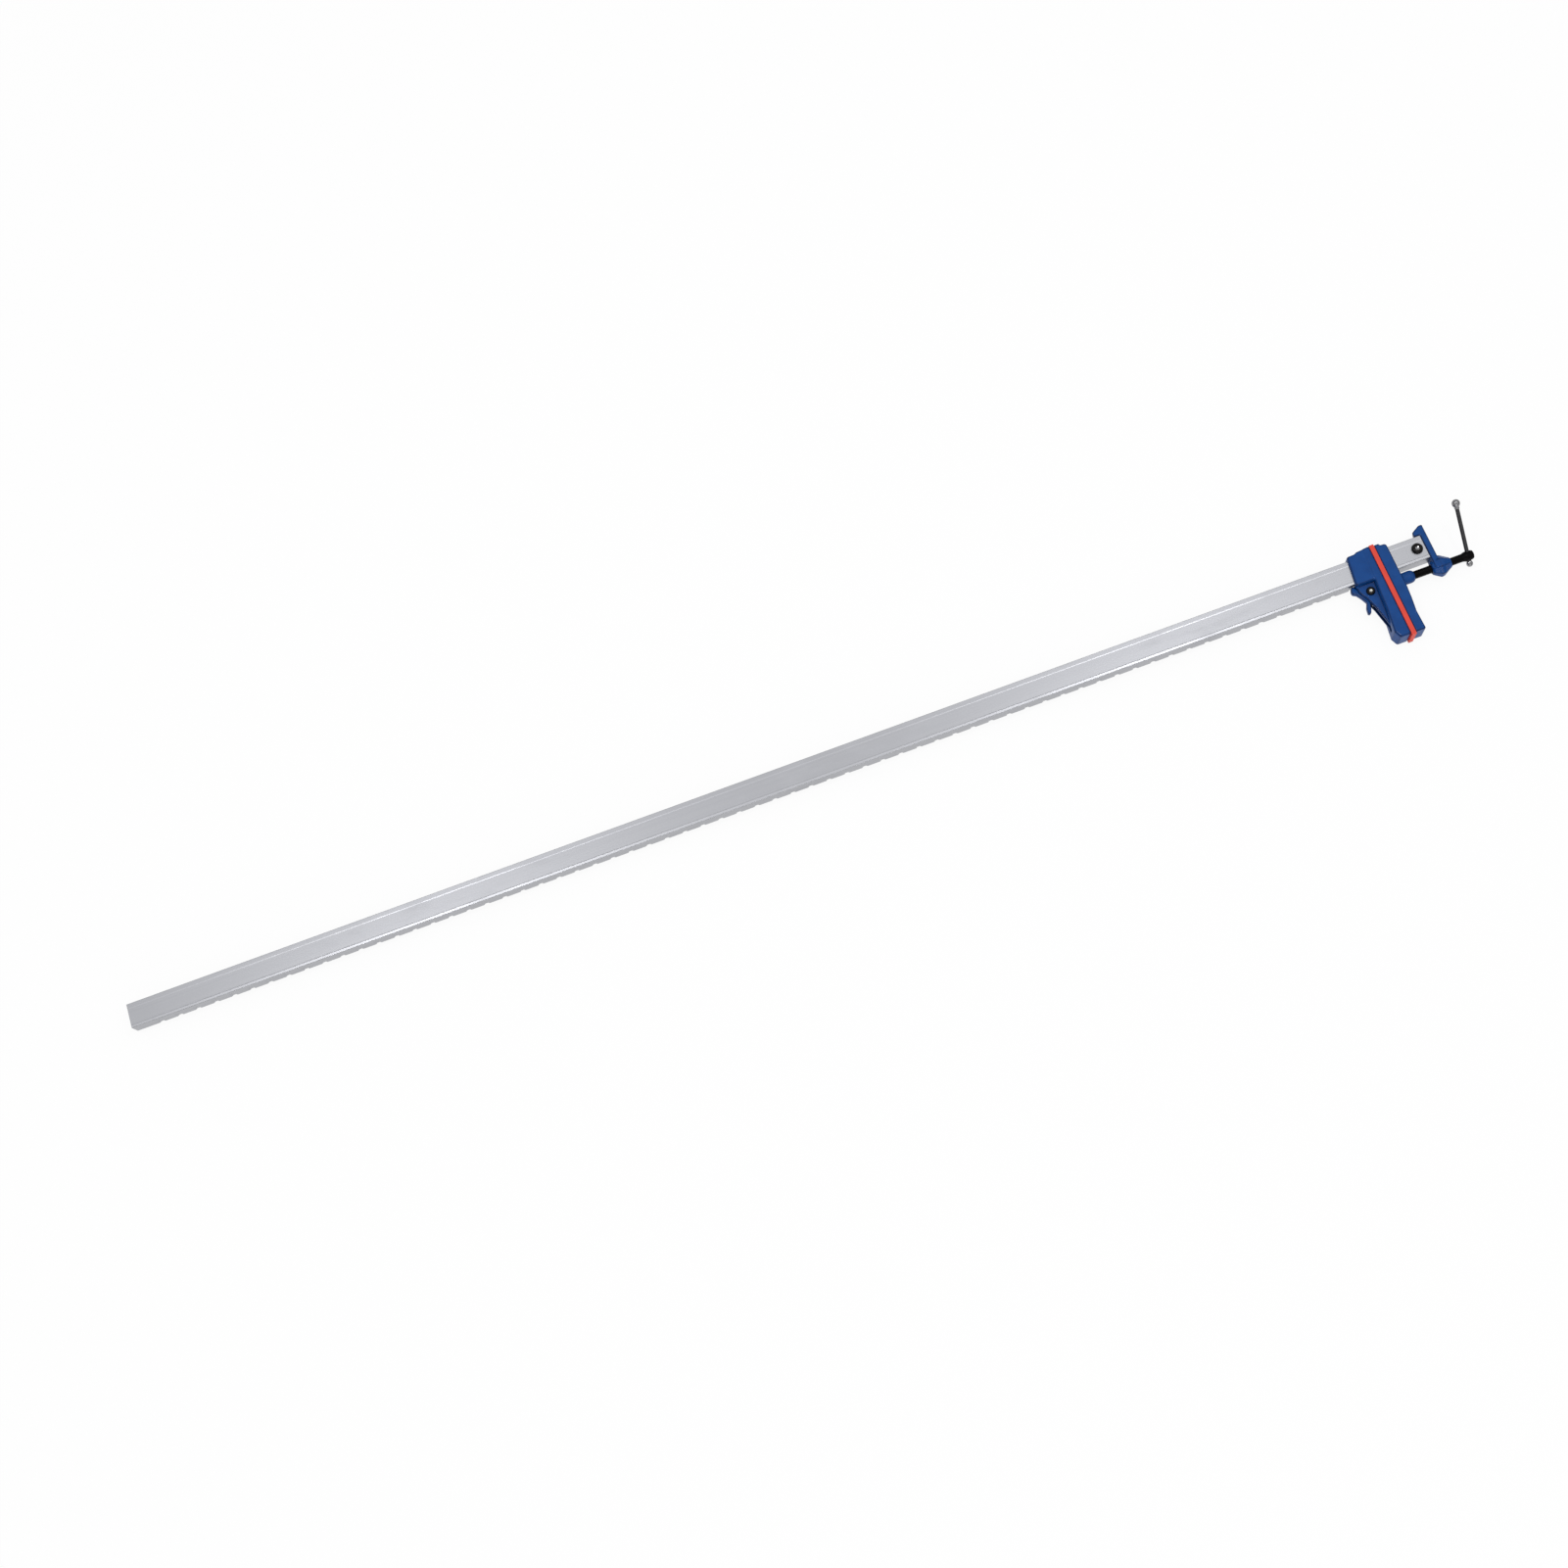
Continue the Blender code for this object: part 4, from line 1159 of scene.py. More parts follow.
@dataclass
class Fastenings(Assembly):
    """The head bolt and the pivot bolt, with their nuts and washer."""

    bolts: Sequence[BoltSize] = (
        BoltSize("head", Body.BAR, 4.0 * MM, 4.0 * MM, 4.1 * MM, Slot.CHROME),
        BoltSize("pivot", Body.TAIL_JAW, 3.0 * MM, 3.3 * MM, 3.1 * MM, Slot.ZINC),
    )
    head_share: float = 0.95
    socket_share: float = 0.46
    socket_floor_share: float = 0.34
    dish_share: float = 0.9
    dish_rise: float = 0.5 * MM
    dish_depth: float = 0.25 * MM
    dish_steps: int = 4
    crown_shares: Outline = (
        (1.0, 0.58), (0.965, 0.70), (0.88, 0.80), (0.74, 0.88), (0.52, 0.95), (0.26, 0.99), (0.0, 1.0),
    )
    thread_crest: float = 0.2 * MM
    nut_chamfer: float = 0.5 * MM
    washer_edge: float = 0.2 * MM
    washer_bore: float = 3.2 * MM

    def model_bolt(self, size: BoltSize) -> Piece:
        """Model a bolt that points down: a turned dome and shank with a hexagon socket.

        Args:
            size: The bolt.

        Returns:
            The piece.
        """
        low, high, centre = node_box(size.word + "_bolt")
        name = size.word + "_button_bolt"
        radius = self.head_share * (high.x - low.x) / 2
        seat = high.z - size.height
        profile = [(seat + up * size.height, out * radius) for up, out in self.crown_shares]
        profile += [
            (seat, size.shank), (low.z + self.thread_crest, size.shank),
            (low.z, size.shank - self.thread_crest),
        ]
        bolt = add_turned(name, profile, Vector((*centre.xy, 0)), Z_AXIS, WIDE_SIDES)
        floor = seat + self.socket_floor_share * size.height
        across = self.socket_share * radius
        socket = add_post(name + "_socket", centre.xy, floor, high.z + PAST, across, HEXAGON)
        return work(bolt, Solve.CUT, socket)

    def model_dish(self, size: BoltSize) -> Piece:
        """Model the bright dished floor that the key has worn into a bolt's socket.

        Args:
            size: The bolt.

        Returns:
            The piece.
        """
        low, high, centre = node_box(size.word + "_bolt")
        reach = self.dish_share * self.socket_share * self.head_share * (high.x - low.x) / 2
        reach *= math.cos(math.pi / HEXAGON)
        floor = high.z - size.height * (1 - self.socket_floor_share) + CLEAR
        rim = floor + self.dish_rise
        shares = [step / self.dish_steps for step in range(self.dish_steps + 1)]
        bowl = [(rim - self.dish_depth * (1 - share ** 2), share * reach) for share in shares]
        name = size.word + "_socket_floor"
        return add_turned(name, [*bowl, (floor, reach)], Vector((*centre.xy, 0)), Z_AXIS, SLIM_SIDES)

    def model_nut(self, size: BoltSize) -> Piece:
        """Model a hexagon nut with chamfered corners.

        Args:
            size: The bolt that it is on.

        Returns:
            The piece.
        """
        low, high, centre = node_box(size.word + "_nut")
        name = size.word + "_hexagon_nut"
        radius = max((high - low).x, (high - low).y) / 2
        nut = add_post(name, centre.xy, low.z, high.z, radius, HEXAGON)
        cone = [
            (high.z, radius - self.nut_chamfer * 2),
            (high.z - self.nut_chamfer, radius + CLEAR),
            (low.z + self.nut_chamfer, radius + CLEAR),
            (low.z, radius - self.nut_chamfer * 2),
        ]
        turned = add_turned(name + "_cone", cone, Vector((*centre.xy, 0)), Z_AXIS, WIDE_SIDES)
        work(nut, Solve.COMMON, turned)
        hole = add_drill(name + "_bore", centre.xy, low.z, high.z, size.nut_bore)
        return work(nut, Solve.CUT, hole)

    def model_washer(self) -> Piece:
        """Model the pivot bolt's flat washer.

        Returns:
            The piece.
        """
        low, high, centre = node_box("pivot_washer")
        radius = (high.x - low.x) / 2
        washer = add_post("pivot_flat_washer", centre.xy, low.z, high.z, radius, WIDE_SIDES)
        round_edges(washer, self.washer_edge, 2)
        hole = add_drill("washer_bore", centre.xy, low.z, high.z, self.washer_bore)
        return work(washer, Solve.CUT, hole)

    def build(self) -> None:
        """Build and dress the bolts, nuts and washer."""
        for size in self.bolts:
            self.dress(self.model_bolt(size), size.body, Slot.BLACK_STEEL, size.word + "_bolt")
            self.dress(self.model_nut(size), size.body, Slot.BLACK_STEEL, size.word + "_nut")
            self.dress(self.model_dish(size), size.body, size.floor)
        self.dress(self.model_washer(), Body.TAIL_JAW, Slot.ZINC, "pivot_washer")


@dataclass
class HeadCasting(Casting):
    """The casting that hooks over the bar's end and carries the screw's thread."""

    strap: Outline = (
        (0.3, 14.8), (0.3, -28.7), (7.6, -28.7), (7.6, 26.1), (3.4, 26.1), (-7.0, 19.9), (-7.0, 14.8),
    )
    half_width: float = 9.5 * MM
    toe_draft: float = 5.5 * MM
    draft_reach: float = 15 * MM
    edge: float = 1.4 * MM
    boss_sides: int = 8
    boss_start: float = -2.75 * MM
    boss_profile: Outline = ((0.0, 6.5), (9.7, 12.2), (13.0, 11.6), (21.1, 6.9), (23.7, 5.9))
    boss_edge: float = 1.1 * MM
    bore: float = 5.0 * MM
    bore_near: float = -20 * MM
    bore_far: float = 40 * MM
    tongue_length: float = 23.7 * MM
    tongue_inset: float = 2.75 * MM
    tongue_root: float = 2 * MM

    def model_strap(self) -> Piece:
        """Model the strap with its hook, whose toe gets shorter towards its underside.

        Returns:
            The strap.
        """
        datum = self.datum
        end = datum.bar_high.x
        low_z = datum.mid_z - self.half_width
        high_z = datum.mid_z + self.half_width
        strap = add_plate("strap", millimetres(self.strap, (end, datum.mid_y)), low_z, high_z)
        toe = end + self.strap[-1][0] * MM
        past = PAST / (2 * self.half_width)
        slant = [
            (toe - PAST, high_z), (toe, high_z),
            (toe + self.toe_draft * (1 + past), low_z - PAST), (toe - PAST, low_z - PAST),
        ]
        corners = [Vector((x, datum.bar_high.y, z)) for x, z in slant]
        work(strap, Solve.CUT, add_prism("toe_draft", corners, Y_AXIS * self.draft_reach))
        return round_edges(strap, self.edge)

    def model_boss(self) -> Piece:
        """Model the faceted boss, turned by half a side so that a flat faces up.

        Returns:
            The boss.
        """
        start = self.datum.screw_point(self.datum.bar_high.x + self.boss_start)
        half_side = math.pi / self.boss_sides
        profile = [(x * MM, r * MM / math.cos(half_side)) for x, r in self.boss_profile]
        boss = add_turned("boss", profile, start, X_AXIS, self.boss_sides)
        bpy.ops.object.mode_set(mode="EDIT")
        bpy.ops.mesh.select_all(action="SELECT")
        bpy.ops.transform.rotate(value=half_side, orient_axis="X", center_override=start)
        bpy.ops.object.mode_set(mode="OBJECT")
        return round_edges(boss, self.boss_edge)

    def model(self) -> Piece:
        """Model the strap and boss as one casting, its bore and the tongue that sits in the bar.

        Returns:
            The casting.
        """
        datum = self.datum
        end = datum.bar_high.x
        body = self.cast("head_casting", self.model_strap(), self.model_boss())
        near = datum.screw_point(end + self.bore_near)
        far = datum.screw_point(end + self.bore_far)
        work(body, Solve.CUT, add_rod("head_bore", near, far, self.bore, WIDE_SIDES))
        inset = Vector((0, self.tongue_inset, self.tongue_inset))
        low = Vector((end - self.tongue_length, datum.bar_low.y, datum.bar_low.z)) + inset
        high = Vector((end + self.tongue_root, datum.bar_high.y, datum.bar_high.z)) - inset
        tongue = round_edges(add_box("tongue", low, high), self.edge / 2)
        return weld_together("head_casting", [body, tongue])

    def build(self) -> None:
        """Build and dress the casting."""
        self.dress(self.model(), Body.BAR, Slot.ENAMEL, "screw_head")


@dataclass
class TailJaw(Casting):
    """The sliding jaw: its face plate, its collar and the cheeks that carry its dog."""

    plate: Outline = (
        (0.0, 22.2), (-9.1, 21.3), (-10.3, -18.1), (-11.7, -36.6), (-12.7, -54.8), (-16.5, -85.5),
        (-12.9, -93.5), (0.0, -93.5),
    )
    collar: Outline = (
        (-28.4, 18.7), (-19.0, 19.0), (-15.9, 20.6), (-7.1, 21.3), (-5.2, 21.3), (-5.2, -18.1),
        (-32.7, -18.1),
    )
    cheeks: Outline = (
        (-5.2, -16.3), (-31.2, -16.3), (-31.2, -23.2), (-29.3, -28.7), (-25.8, -34.6), (-23.7, -40.6),
        (-21.1, -48.1), (-17.8, -62.3), (-14.9, -74.5), (-13.1, -82.4), (-5.2, -85.5),
    )
    collar_half: float = 12.4 * MM
    cheek_half: float = 6.0 * MM
    edge: float = 1.8 * MM
    cheek_edge: float = 0.8 * MM
    passage_length: float = 33 * MM
    slot_half: float = 3.4 * MM
    slot_floor: float = 11.9 * MM
    slot_end: float = 80 * MM
    slot_past: float = 20 * MM
    pivot_hole: float = 3.2 * MM
    pivot_reach: float = 15 * MM

    def model(self) -> Piece:
        """Model the casting from three plates, then open the bar passage, slot and pivot hole.

        Returns:
            The casting.
        """
        datum = self.datum
        face = datum.tail_face
        body = self.cast(
            "tail_jaw_casting",
            self.slab("face", self.plate, face, datum.jaw_half, self.edge),
            self.slab("collar", self.collar, face, self.collar_half, self.edge),
            self.slab("cheeks", self.cheeks, face, self.cheek_half, self.cheek_edge),
        )
        low_x = face - self.passage_length
        slot = add_box(
            "dog_slot",
            Vector((low_x - self.slot_past, datum.mid_y - self.slot_end, datum.mid_z - self.slot_half)),
            Vector((face - self.slot_floor, datum.mid_y, datum.mid_z + self.slot_half)),
        )
        reach = Z_AXIS * self.pivot_reach
        hole = add_rod(
            "pivot_hole", datum.pivot - reach, datum.pivot + reach, self.pivot_hole, SLIM_SIDES
        )
        return work(body, Solve.CUT, hole, slot, self.passage("tail_passage", low_x, face))

    def build(self) -> None:
        """Build and dress the casting."""
        self.dress(self.model(), Body.TAIL_JAW, Slot.ENAMEL, "tail_jaw")


@dataclass
class ScrewJaw(Casting):
    """The jaw that slides on the bar ahead of the screw."""

    outline: Outline = (
        (0.0, 20.8), (0.0, -93.5), (12.0, -93.5), (12.0, -91.1), (11.2, -70.6), (13.0, -54.0),
        (14.0, -39.8), (13.8, -16.9), *arc((10.2, 14.8), 3.6, 0, 90), (6.3, 18.4), (6.3, 20.8),
    )
    edge: float = 1.8 * MM
    boss_profile: Outline = (
        (2.0, 11.0), (14.5, 8.8), (16.0, 7.7), (17.5, 7.3), (25.0, 7.5), (27.6, 7.1), (29.2, 6.2),
        (30.0, 5.5),
    )
    bore: float = 5.0 * MM
    bore_near: float = 6 * MM
    bore_far: float = 40 * MM
    passage_length: float = 14 * MM

    def model(self) -> Piece:
        """Model the casting with its round boss and open the passage and the bore.

        Returns:
            The casting.
        """
        datum = self.datum
        face = datum.screw_face
        jaw = self.slab("jaw", self.outline, face, datum.jaw_half, self.edge)
        profile = millimetres(self.boss_profile)
        boss = add_turned("jaw_boss", profile, datum.screw_point(face), X_AXIS, WIDE_SIDES)
        body = self.cast("screw_jaw_casting", jaw, boss)
        near = datum.screw_point(face + self.bore_near)
        far = datum.screw_point(face + self.bore_far)
        bore = add_rod("jaw_bore", near, far, self.bore, WIDE_SIDES)
        passage = self.passage("jaw_passage", face, face + self.passage_length)
        return work(body, Solve.CUT, bore, passage)

    def build(self) -> None:
        """Build and dress the casting."""
        self.dress(self.model(), Body.SCREW_JAW, Slot.ENAMEL, "screw_jaw")


@dataclass
class Pads(Assembly):
    """The two moulded pads on the faces of the jaws."""

    outer_edge: float = 0.15 * MM
    meeting_gap: float = 0.003 * MM

    def model(self, name: str, node: str, side: int) -> Piece:
        """Model one pad, with nearly square edges where the pads meet.

        Args:
            name: Name of the piece.
            node: The CAD node that it stands for.
            side: -1 for the pad on the left and 1 for the one on the right.

        Returns:
            The pad.
        """
        datum = self.datum
        plane = (datum.tail_face + datum.screw_face) / 2
        low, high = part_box(node)
        meets = plane + side * self.meeting_gap
        backs = (datum.screw_face if side > 0 else datum.tail_face) - side * CLEAR
        pad = add_box(
            name,
            Vector((min(meets, backs), low.y, low.z)),
            Vector((max(meets, backs), high.y, high.z)),
        )
        bpy.ops.object.mode_set(mode="EDIT")
        select_parts(pad, Part.FACE, lambda face: face.normal.x * side > FACING)
        bpy.ops.mesh.bevel(offset=self.outer_edge, segments=2)
        bpy.ops.object.mode_set(mode="OBJECT")
        return work(pad, Solve.CUT, self.passage(name + "_passage", low.x, high.x))

    def build(self) -> None:
        """Build and dress both pads."""
        tail = self.model("tail_pad", "tail_jaw_pad", -1)
        self.dress(tail, Body.TAIL_JAW, Slot.PAD, "tail_jaw_pad")
        screw = self.model("screw_pad", "screw_jaw_pad", 1)
        self.dress(screw, Body.SCREW_JAW, Slot.PAD, "screw_jaw_pad")


@dataclass
class Dog(Casting):
    """The sprung lever that catches the notches, and its spring."""

    outline: Outline = (
        (-17.5, 13.1), (-15.0, 13.1), (-12.0, 8.4), (-6.0, 5.5), (0.0, 5.0), (0.5, -5.5), (-2.5, -8.5),
        (-4.25, -10.5), (-6.6, -18.5), (-8.75, -23.25), (-10.75, -24.6), (-12.4, -23.0),
        (-11.4, -16.0), (-8.4, -9.75), (-11.5, -3.0), (-15.0, 2.5), (-19.1, 5.0), (-19.5, 8.25),
    )
    half: float = 3.0 * MM
    edge: float = 0.9 * MM
    hub: float = 6.2 * MM
    bore: float = 4.2 * MM
    grain: float = 0.35 * MM
    passes: int = 6
    coils: int = 6
    coil_steps: int = 24
    wire: float = 0.35 * MM
    wire_sides: int = 12
    spring_keep: float = 0.72

    def model_lever(self) -> Piece:
        """Model the lever and its round hub, and bore it for the sleeve.

        Returns:
            The lever.
        """
        pivot = self.datum.pivot
        reach = Vector((0, 0, self.half))
        corners = millimetres(self.outline, (pivot.x, pivot.y))
        lever = add_plate("lever", corners, pivot.z - self.half, pivot.z + self.half)
        round_edges(lever, self.edge)
        hub = add_rod("hub", pivot - reach, pivot + reach, self.hub, WIDE_SIDES)
        round_edges(hub, self.edge / 2)
        body = self.cast("dog_casting", lever, hub)
        bore = add_rod("dog_bore", pivot - reach * 2, pivot + reach * 2, self.bore, SLIM_SIDES)
        return work(body, Solve.CUT, bore)

    def model_spring(self) -> Piece:
        """Model the coil spring as a round wire wound between the ends of its CAD box.

        Returns:
            The spring.
        """
        low, high, centre = node_box("dog_spring")
        coil = (high.y - low.y) / 2 - self.wire
        bpy.ops.object.select_all(action="DESELECT")
        bpy.ops.mesh.primitive_circle_add(
            vertices=self.wire_sides, radius=self.wire,
            location=(low.x + self.wire, centre.y + coil, centre.z),
        )
        wire = settle(bpy.context.object, "dog_coil_spring")
        wire.data.transform(Matrix.Translation(-centre))
        steps = self.coil_steps * self.coils
        apply_modifier(
            wire, "SCREW", axis="X", angle=2 * math.pi * self.coils,
            screw_offset=high.x - low.x - 2 * self.wire, steps=steps, render_steps=steps,
            use_smooth_shade=True,
        )
        wire.location = centre
        settle(wire, "dog_coil_spring")
        bpy.ops.object.mode_set(mode="EDIT")
        bpy.ops.mesh.select_all(action="SELECT")
        bpy.ops.mesh.fill_holes(sides=0)
        return close_solid(wire)

    def build(self) -> None:
        """Build and dress the lever and its spring."""
        self.dress(self.model_lever(), Body.DOG, Slot.ENAMEL, "dog_lever")
        spring = self.dress(self.model_spring(), Body.TAIL_JAW, Slot.ZINC, "dog_spring")
        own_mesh(spring)


@dataclass
class ScrewAndHub(Assembly):
    """The threaded screw and the hub that the tommy bar slides through."""

    radius: float = 4.7 * MM
    root: float = 4.5 * MM
    lead: float = 3.0 * MM
    starts: int = 2
    crest_share: float = 0.42
    root_share: float = 0.26
    turn_steps: int = 32
    thread_overlap: float = 2 * MM
    hub_profile: Outline = (
        (0.5, 4.0), (1.4, 4.75), (2.6, 4.9), (3.6, 5.4), (4.8, 5.75), (6.6, 5.9), (10.0, 5.9),
        (12.0, 5.6), (13.5, 5.2), (14.2, 4.8), (14.5, 4.2),
    )
    hub_length: float = 14.5 * MM
    hole: float = 2.55 * MM
    hole_reach: float = 15 * MM
    mouth: float = 3.2 * MM
    mouth_floor: float = 3.85 * MM

    def model_thread(self) -> Piece:
        """Model the thread: the profile of one turn, wound along the screw.

        Returns:
            The screw.
        """
        datum = self.datum
        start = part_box("thrust_washer")[1].x + CLEAR
        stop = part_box("screw_spindle")[1].x - self.hub_length + self.thread_overlap
        turns = int((stop - start) / self.lead)
        pitch = self.lead / self.starts
        crest = self.crest_share * pitch
        root = self.root_share * pitch
        flank = (pitch - crest - root) / 2
        tooth = (
            (root, self.root), (root + flank, self.radius), (root + flank + crest, self.radius),
            (pitch, self.root),
        )
        steps = [(0.0, self.root)]
        steps += [(ridge * pitch + along, out) for ridge in range(self.starts) for along, out in tooth]
        places = [datum.screw_point(start + along) + Y_AXIS * out for along, out in steps]
        thread = draw_line("screw_thread", places)
        bpy.ops.mesh.select_all(action="SELECT")
        bpy.ops.transform.translate(value=-datum.screw_point(0))
        bpy.ops.object.mode_set(mode="OBJECT")
        apply_modifier(
            thread, "SCREW", axis="X", screw_offset=self.lead, iterations=turns,
            steps=self.turn_steps, render_steps=self.turn_steps, use_merge_vertices=True,
            merge_threshold=MERGE, use_smooth_shade=True,
        )
        thread.location = datum.screw_point(0)
        return settle(thread, "screw_thread")

    def model_hub(self) -> Piece:
        """Model the barrel-shaped hub and its cross hole, whose mouth takes the upper knob's neck.

        Returns:
            The hub.
        """
        tommy = self.datum.tommy
        start = self.datum.screw_point(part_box("screw_spindle")[1].x - self.hub_length)
        hub = add_turned("screw_hub", millimetres(self.hub_profile), start, X_AXIS, WIDE_SIDES)
        reach = TOMMY_LINE * self.hole_reach
        hole = add_rod("tommy_hole", tommy - reach, tommy + reach, self.hole, SLIM_SIDES)
        floor = tommy + TOMMY_LINE * self.mouth_floor
        mouth = add_rod("tommy_hole_mouth", floor, tommy + reach, self.mouth, SLIM_SIDES)
        return work(hub, Solve.CUT, hole, mouth)

    def build(self) -> None:
        """Build and dress the screw and its hub."""
        thread = self.model_thread()
        self.dress(thread, Body.SCREW, Slot.BLACK_STEEL, "screw_spindle", look=DRY_BLACK)
        self.dress(self.model_hub(), Body.SCREW, Slot.BLACK_STEEL, look=DRY_BLACK)


@dataclass
class TommyBar(Assembly):
    """The sliding bar with a turned knob on each end."""

    rod: float = 2.35 * MM
    rod_edge: float = 0.4 * MM
    upper: float = 64.0 * MM
    lower: float = 9.4 * MM
    upper_knob: Outline = (
        (-6.6, 2.6), (-6.2, 3.0), (-5.2, 3.0), (-4.6, 2.75), (-3.6, 3.4), (-2.4, 4.15), (-1.0, 4.6),
        (0.6, 4.7), (2.2, 4.2), (3.4, 3.3), (4.2, 2.1), (4.6, 1.0),
    )
    lower_knob: Outline = (
        (-3.6, 1.2), (-3.2, 2.2), (-2.2, 3.2), (-0.8, 3.75), (0.8, 3.75), (2.2, 3.2), (3.2, 2.5),
        (3.6, 2.3),
    )

    def build(self) -> None:
        """Build and dress the rod and its two knobs."""
        top = self.datum.tommy + TOMMY_LINE * self.upper
        low = self.datum.tommy - TOMMY_LINE * self.lower
        rod = add_rod("tommy_drawn_rod", low, top, self.rod, SLIM_SIDES)
        round_edges(rod, self.rod_edge)
        self.dress(rod, Body.TOMMY, Slot.ROD, "tommy_rod")
        for end, profile, place in (("upper", self.upper_knob, top), ("lower", self.lower_knob, low)):
            knob = add_turned(end + "_knob", millimetres(profile), place, TOMMY_LINE, WIDE_SIDES)
            self.dress(knob, Body.TOMMY, Slot.CHROME, "tommy_ball_" + end)


@dataclass
class PlainParts(Assembly):
    """The CAD nodes whose own shape is right, which only get their finish."""

    zinc: Sequence[str] = ("pivot_sleeve", "thrust_washer", "retaining_clip")

    def build(self) -> None:
        """Give each node its finish."""
        for name in self.zinc:
            node = frame["nodes"][name]
            node.data.materials.clear()
            node.data.materials.append(self.finishes[Slot.ZINC])
            LOG.info("%s: keeps its CAD shape", name)


# The studio


@dataclass(frozen=True)
class Softbox:
    """A lamp that shines softly from a rectangle."""

    name: str
    place: Vector
    size: Point
    watts: float


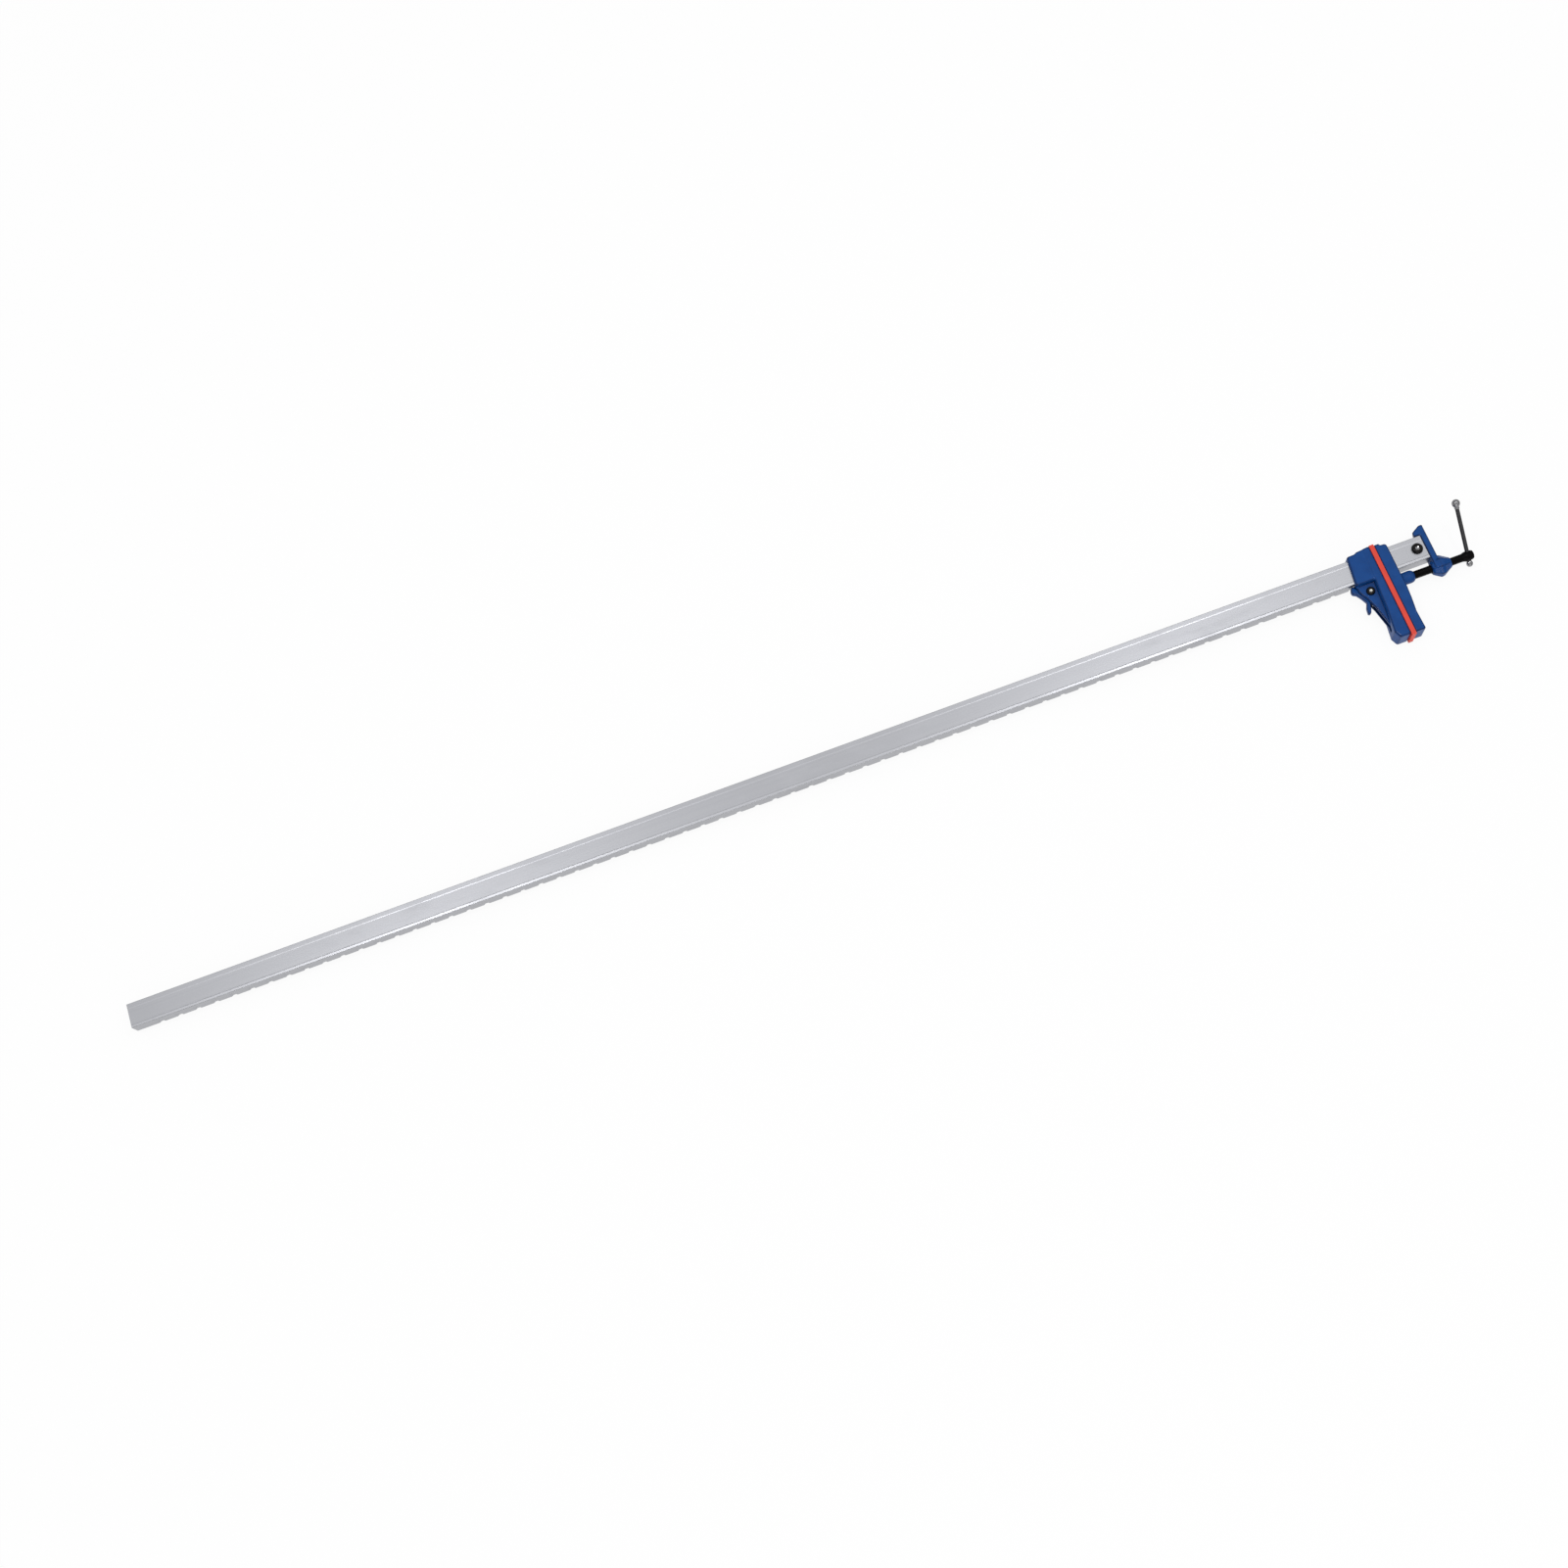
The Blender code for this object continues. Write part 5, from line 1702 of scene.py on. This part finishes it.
@dataclass
class Studio:
    """The floor, the lamps, the sky and the camera."""

    floor_size: float = 60.0
    floor_drop: float = 0.2 * MM
    floor_white: str = "#F4F4F4"
    glow_share: float = 0.92
    sky_level: float = 0.9
    horizon_level: float = 0.25
    horizon_height: float = 0.12
    sky_height: float = 0.60
    lens: float = 45.12
    sensor: float = 36
    sight: float = 100
    camera_place: Vector = field(default_factory=lambda: Vector((-0.018290, -0.703347, 2.143881)))
    camera_back: Vector = field(default_factory=lambda: Vector((-0.0003, -0.3253, 0.9456)))
    camera_right: Vector = field(default_factory=lambda: Vector((0.9400, -0.3226, -0.1107)))
    aim: Vector = field(default_factory=lambda: Vector((0.2, 0, 0)))
    lamps: Sequence[Softbox] = (
        Softbox("right_softbox", Vector((1.0, 0.35, 2.65)), (0.26, 0.26), 8.5),
        Softbox("left_softbox", Vector((-0.90, 0.35, 2.65)), (0.26, 0.26), 8),
        Softbox("front_strip", Vector((0.1, -2.6, 0.7)), (2.6, 0.4), 12),
    )

    def highest(self, tree: Nodes, *sockets: Socket) -> Socket:
        """Chain sockets so that the highest of their values comes out.

        Args:
            tree: The node tree.
            *sockets: The sockets.

        Returns:
            The socket with the highest value.
        """
        top = sockets[0]
        for other in sockets[1:]:
            chosen = add_node(
                tree, "ShaderNodeMath", settings={"operation": "MAXIMUM"}, links={0: top, 1: other}
            )
            top = chosen.outputs[0]
        return top

    def add_floor(self) -> None:
        """Add the pale floor, which the camera and the metal see almost white, with a shadow."""
        bpy.ops.object.select_all(action="DESELECT")
        place = (0, 0, -self.floor_drop)
        bpy.ops.mesh.primitive_plane_add(size=self.floor_size, location=place)
        floor = bpy.context.object
        floor.name = "studio_floor"
        material = bpy.data.materials.new("studio_floor")
        tree = empty_nodes(material)
        diffuse = add_node(tree, "ShaderNodeBsdfDiffuse", values={"Color": colour(self.floor_white)})
        glow = add_node(tree, "ShaderNodeEmission", values={"Color": (1, 1, 1, 1), "Strength": 1.0})
        rays = add_node(tree, "ShaderNodeLightPath").outputs
        seen = self.highest(
            tree, rays["Is Camera Ray"], rays["Is Glossy Ray"], rays["Is Transmission Ray"]
        )
        glowing = add_node(
            tree, "ShaderNodeMath", settings={"operation": "MINIMUM"}, values={1: self.glow_share},
            links={0: seen},
        )
        mixed = add_node(
            tree, "ShaderNodeMixShader",
            links={0: glowing.outputs[0], 1: diffuse.outputs[0], 2: glow.outputs[0]},
        )
        add_node(tree, "ShaderNodeOutputMaterial", links={"Surface": mixed.outputs[0]})
        floor.data.materials.append(material)

    def add_lamp(self, softbox: Softbox) -> None:
        """Hang a lamp that faces the clamp.

        Args:
            softbox: The lamp.
        """
        data = bpy.data.lights.new(softbox.name, "AREA")
        data.shape = "RECTANGLE"
        data.size, data.size_y = softbox.size
        data.energy = softbox.watts
        lamp = bpy.data.objects.new(softbox.name, data)
        bpy.context.scene.collection.objects.link(lamp)
        lamp.location = softbox.place
        lamp.rotation_mode = "QUATERNION"
        lamp.rotation_quaternion = (self.aim - softbox.place).to_track_quat("-Z", "Y")

    def add_sky(self) -> None:
        """Fill the room with a pale light that falls off towards the walls, and show it as white."""
        world = bpy.data.worlds.new("studio_sky")
        bpy.context.scene.world = world
        tree = empty_nodes(world)
        place = add_node(tree, "ShaderNodeTexCoord")
        parts = add_node(tree, "ShaderNodeSeparateXYZ", links={"Vector": place.outputs["Generated"]})
        level = add_node(
            tree, "ShaderNodeMapRange",
            values={
                "From Min": self.horizon_height, "From Max": self.sky_height,
                "To Min": self.horizon_level, "To Max": self.sky_level,
            },
            links={"Value": parts.outputs["Z"]},
        )
        rays = add_node(tree, "ShaderNodeLightPath").outputs
        strength = self.highest(
            tree, rays["Is Camera Ray"], rays["Is Transmission Ray"], level.outputs["Result"]
        )
        back = add_node(
            tree, "ShaderNodeBackground", values={"Color": (1, 1, 1, 1)}, links={"Strength": strength}
        )
        add_node(tree, "ShaderNodeOutputWorld", links={"Surface": back.outputs["Background"]})

    def add_camera(self) -> None:
        """Set the camera up at the photograph's angle."""
        data = bpy.data.cameras.new("camera")
        data.lens = self.lens
        data.sensor_width = self.sensor
        data.clip_end = self.sight
        camera = bpy.data.objects.new("camera", data)
        bpy.context.scene.collection.objects.link(camera)
        back = self.camera_back.normalized()
        right = (self.camera_right - back * self.camera_right.dot(back)).normalized()
        turn = Matrix((right, back.cross(right), back)).transposed().to_4x4()
        camera.matrix_world = Matrix.Translation(self.camera_place) @ turn
        bpy.context.scene.camera = camera

    def build(self) -> None:
        """Set up the whole studio."""
        bpy.context.scene.view_settings.view_transform = "Standard"
        self.add_floor()
        self.add_sky()
        self.add_camera()
        for softbox in self.lamps:
            self.add_lamp(softbox)


def main() -> None:
    """Build the clamp and its studio."""
    logging.basicConfig(level=logging.INFO, format="%(name)s %(message)s")
    datum = Datum.read()
    finishes = make_finishes()
    kinds: Sequence[type[Assembly]] = (
        NotchedBar, Fastenings, HeadCasting, TailJaw, ScrewJaw, Pads, Dog, ScrewAndHub, TommyBar,
        PlainParts,
    )
    for kind in kinds:
        kind(datum, finishes).build()
        LOG.info("built %s", kind.__name__)
    Studio().build()


if __name__ == "__main__":
    main()
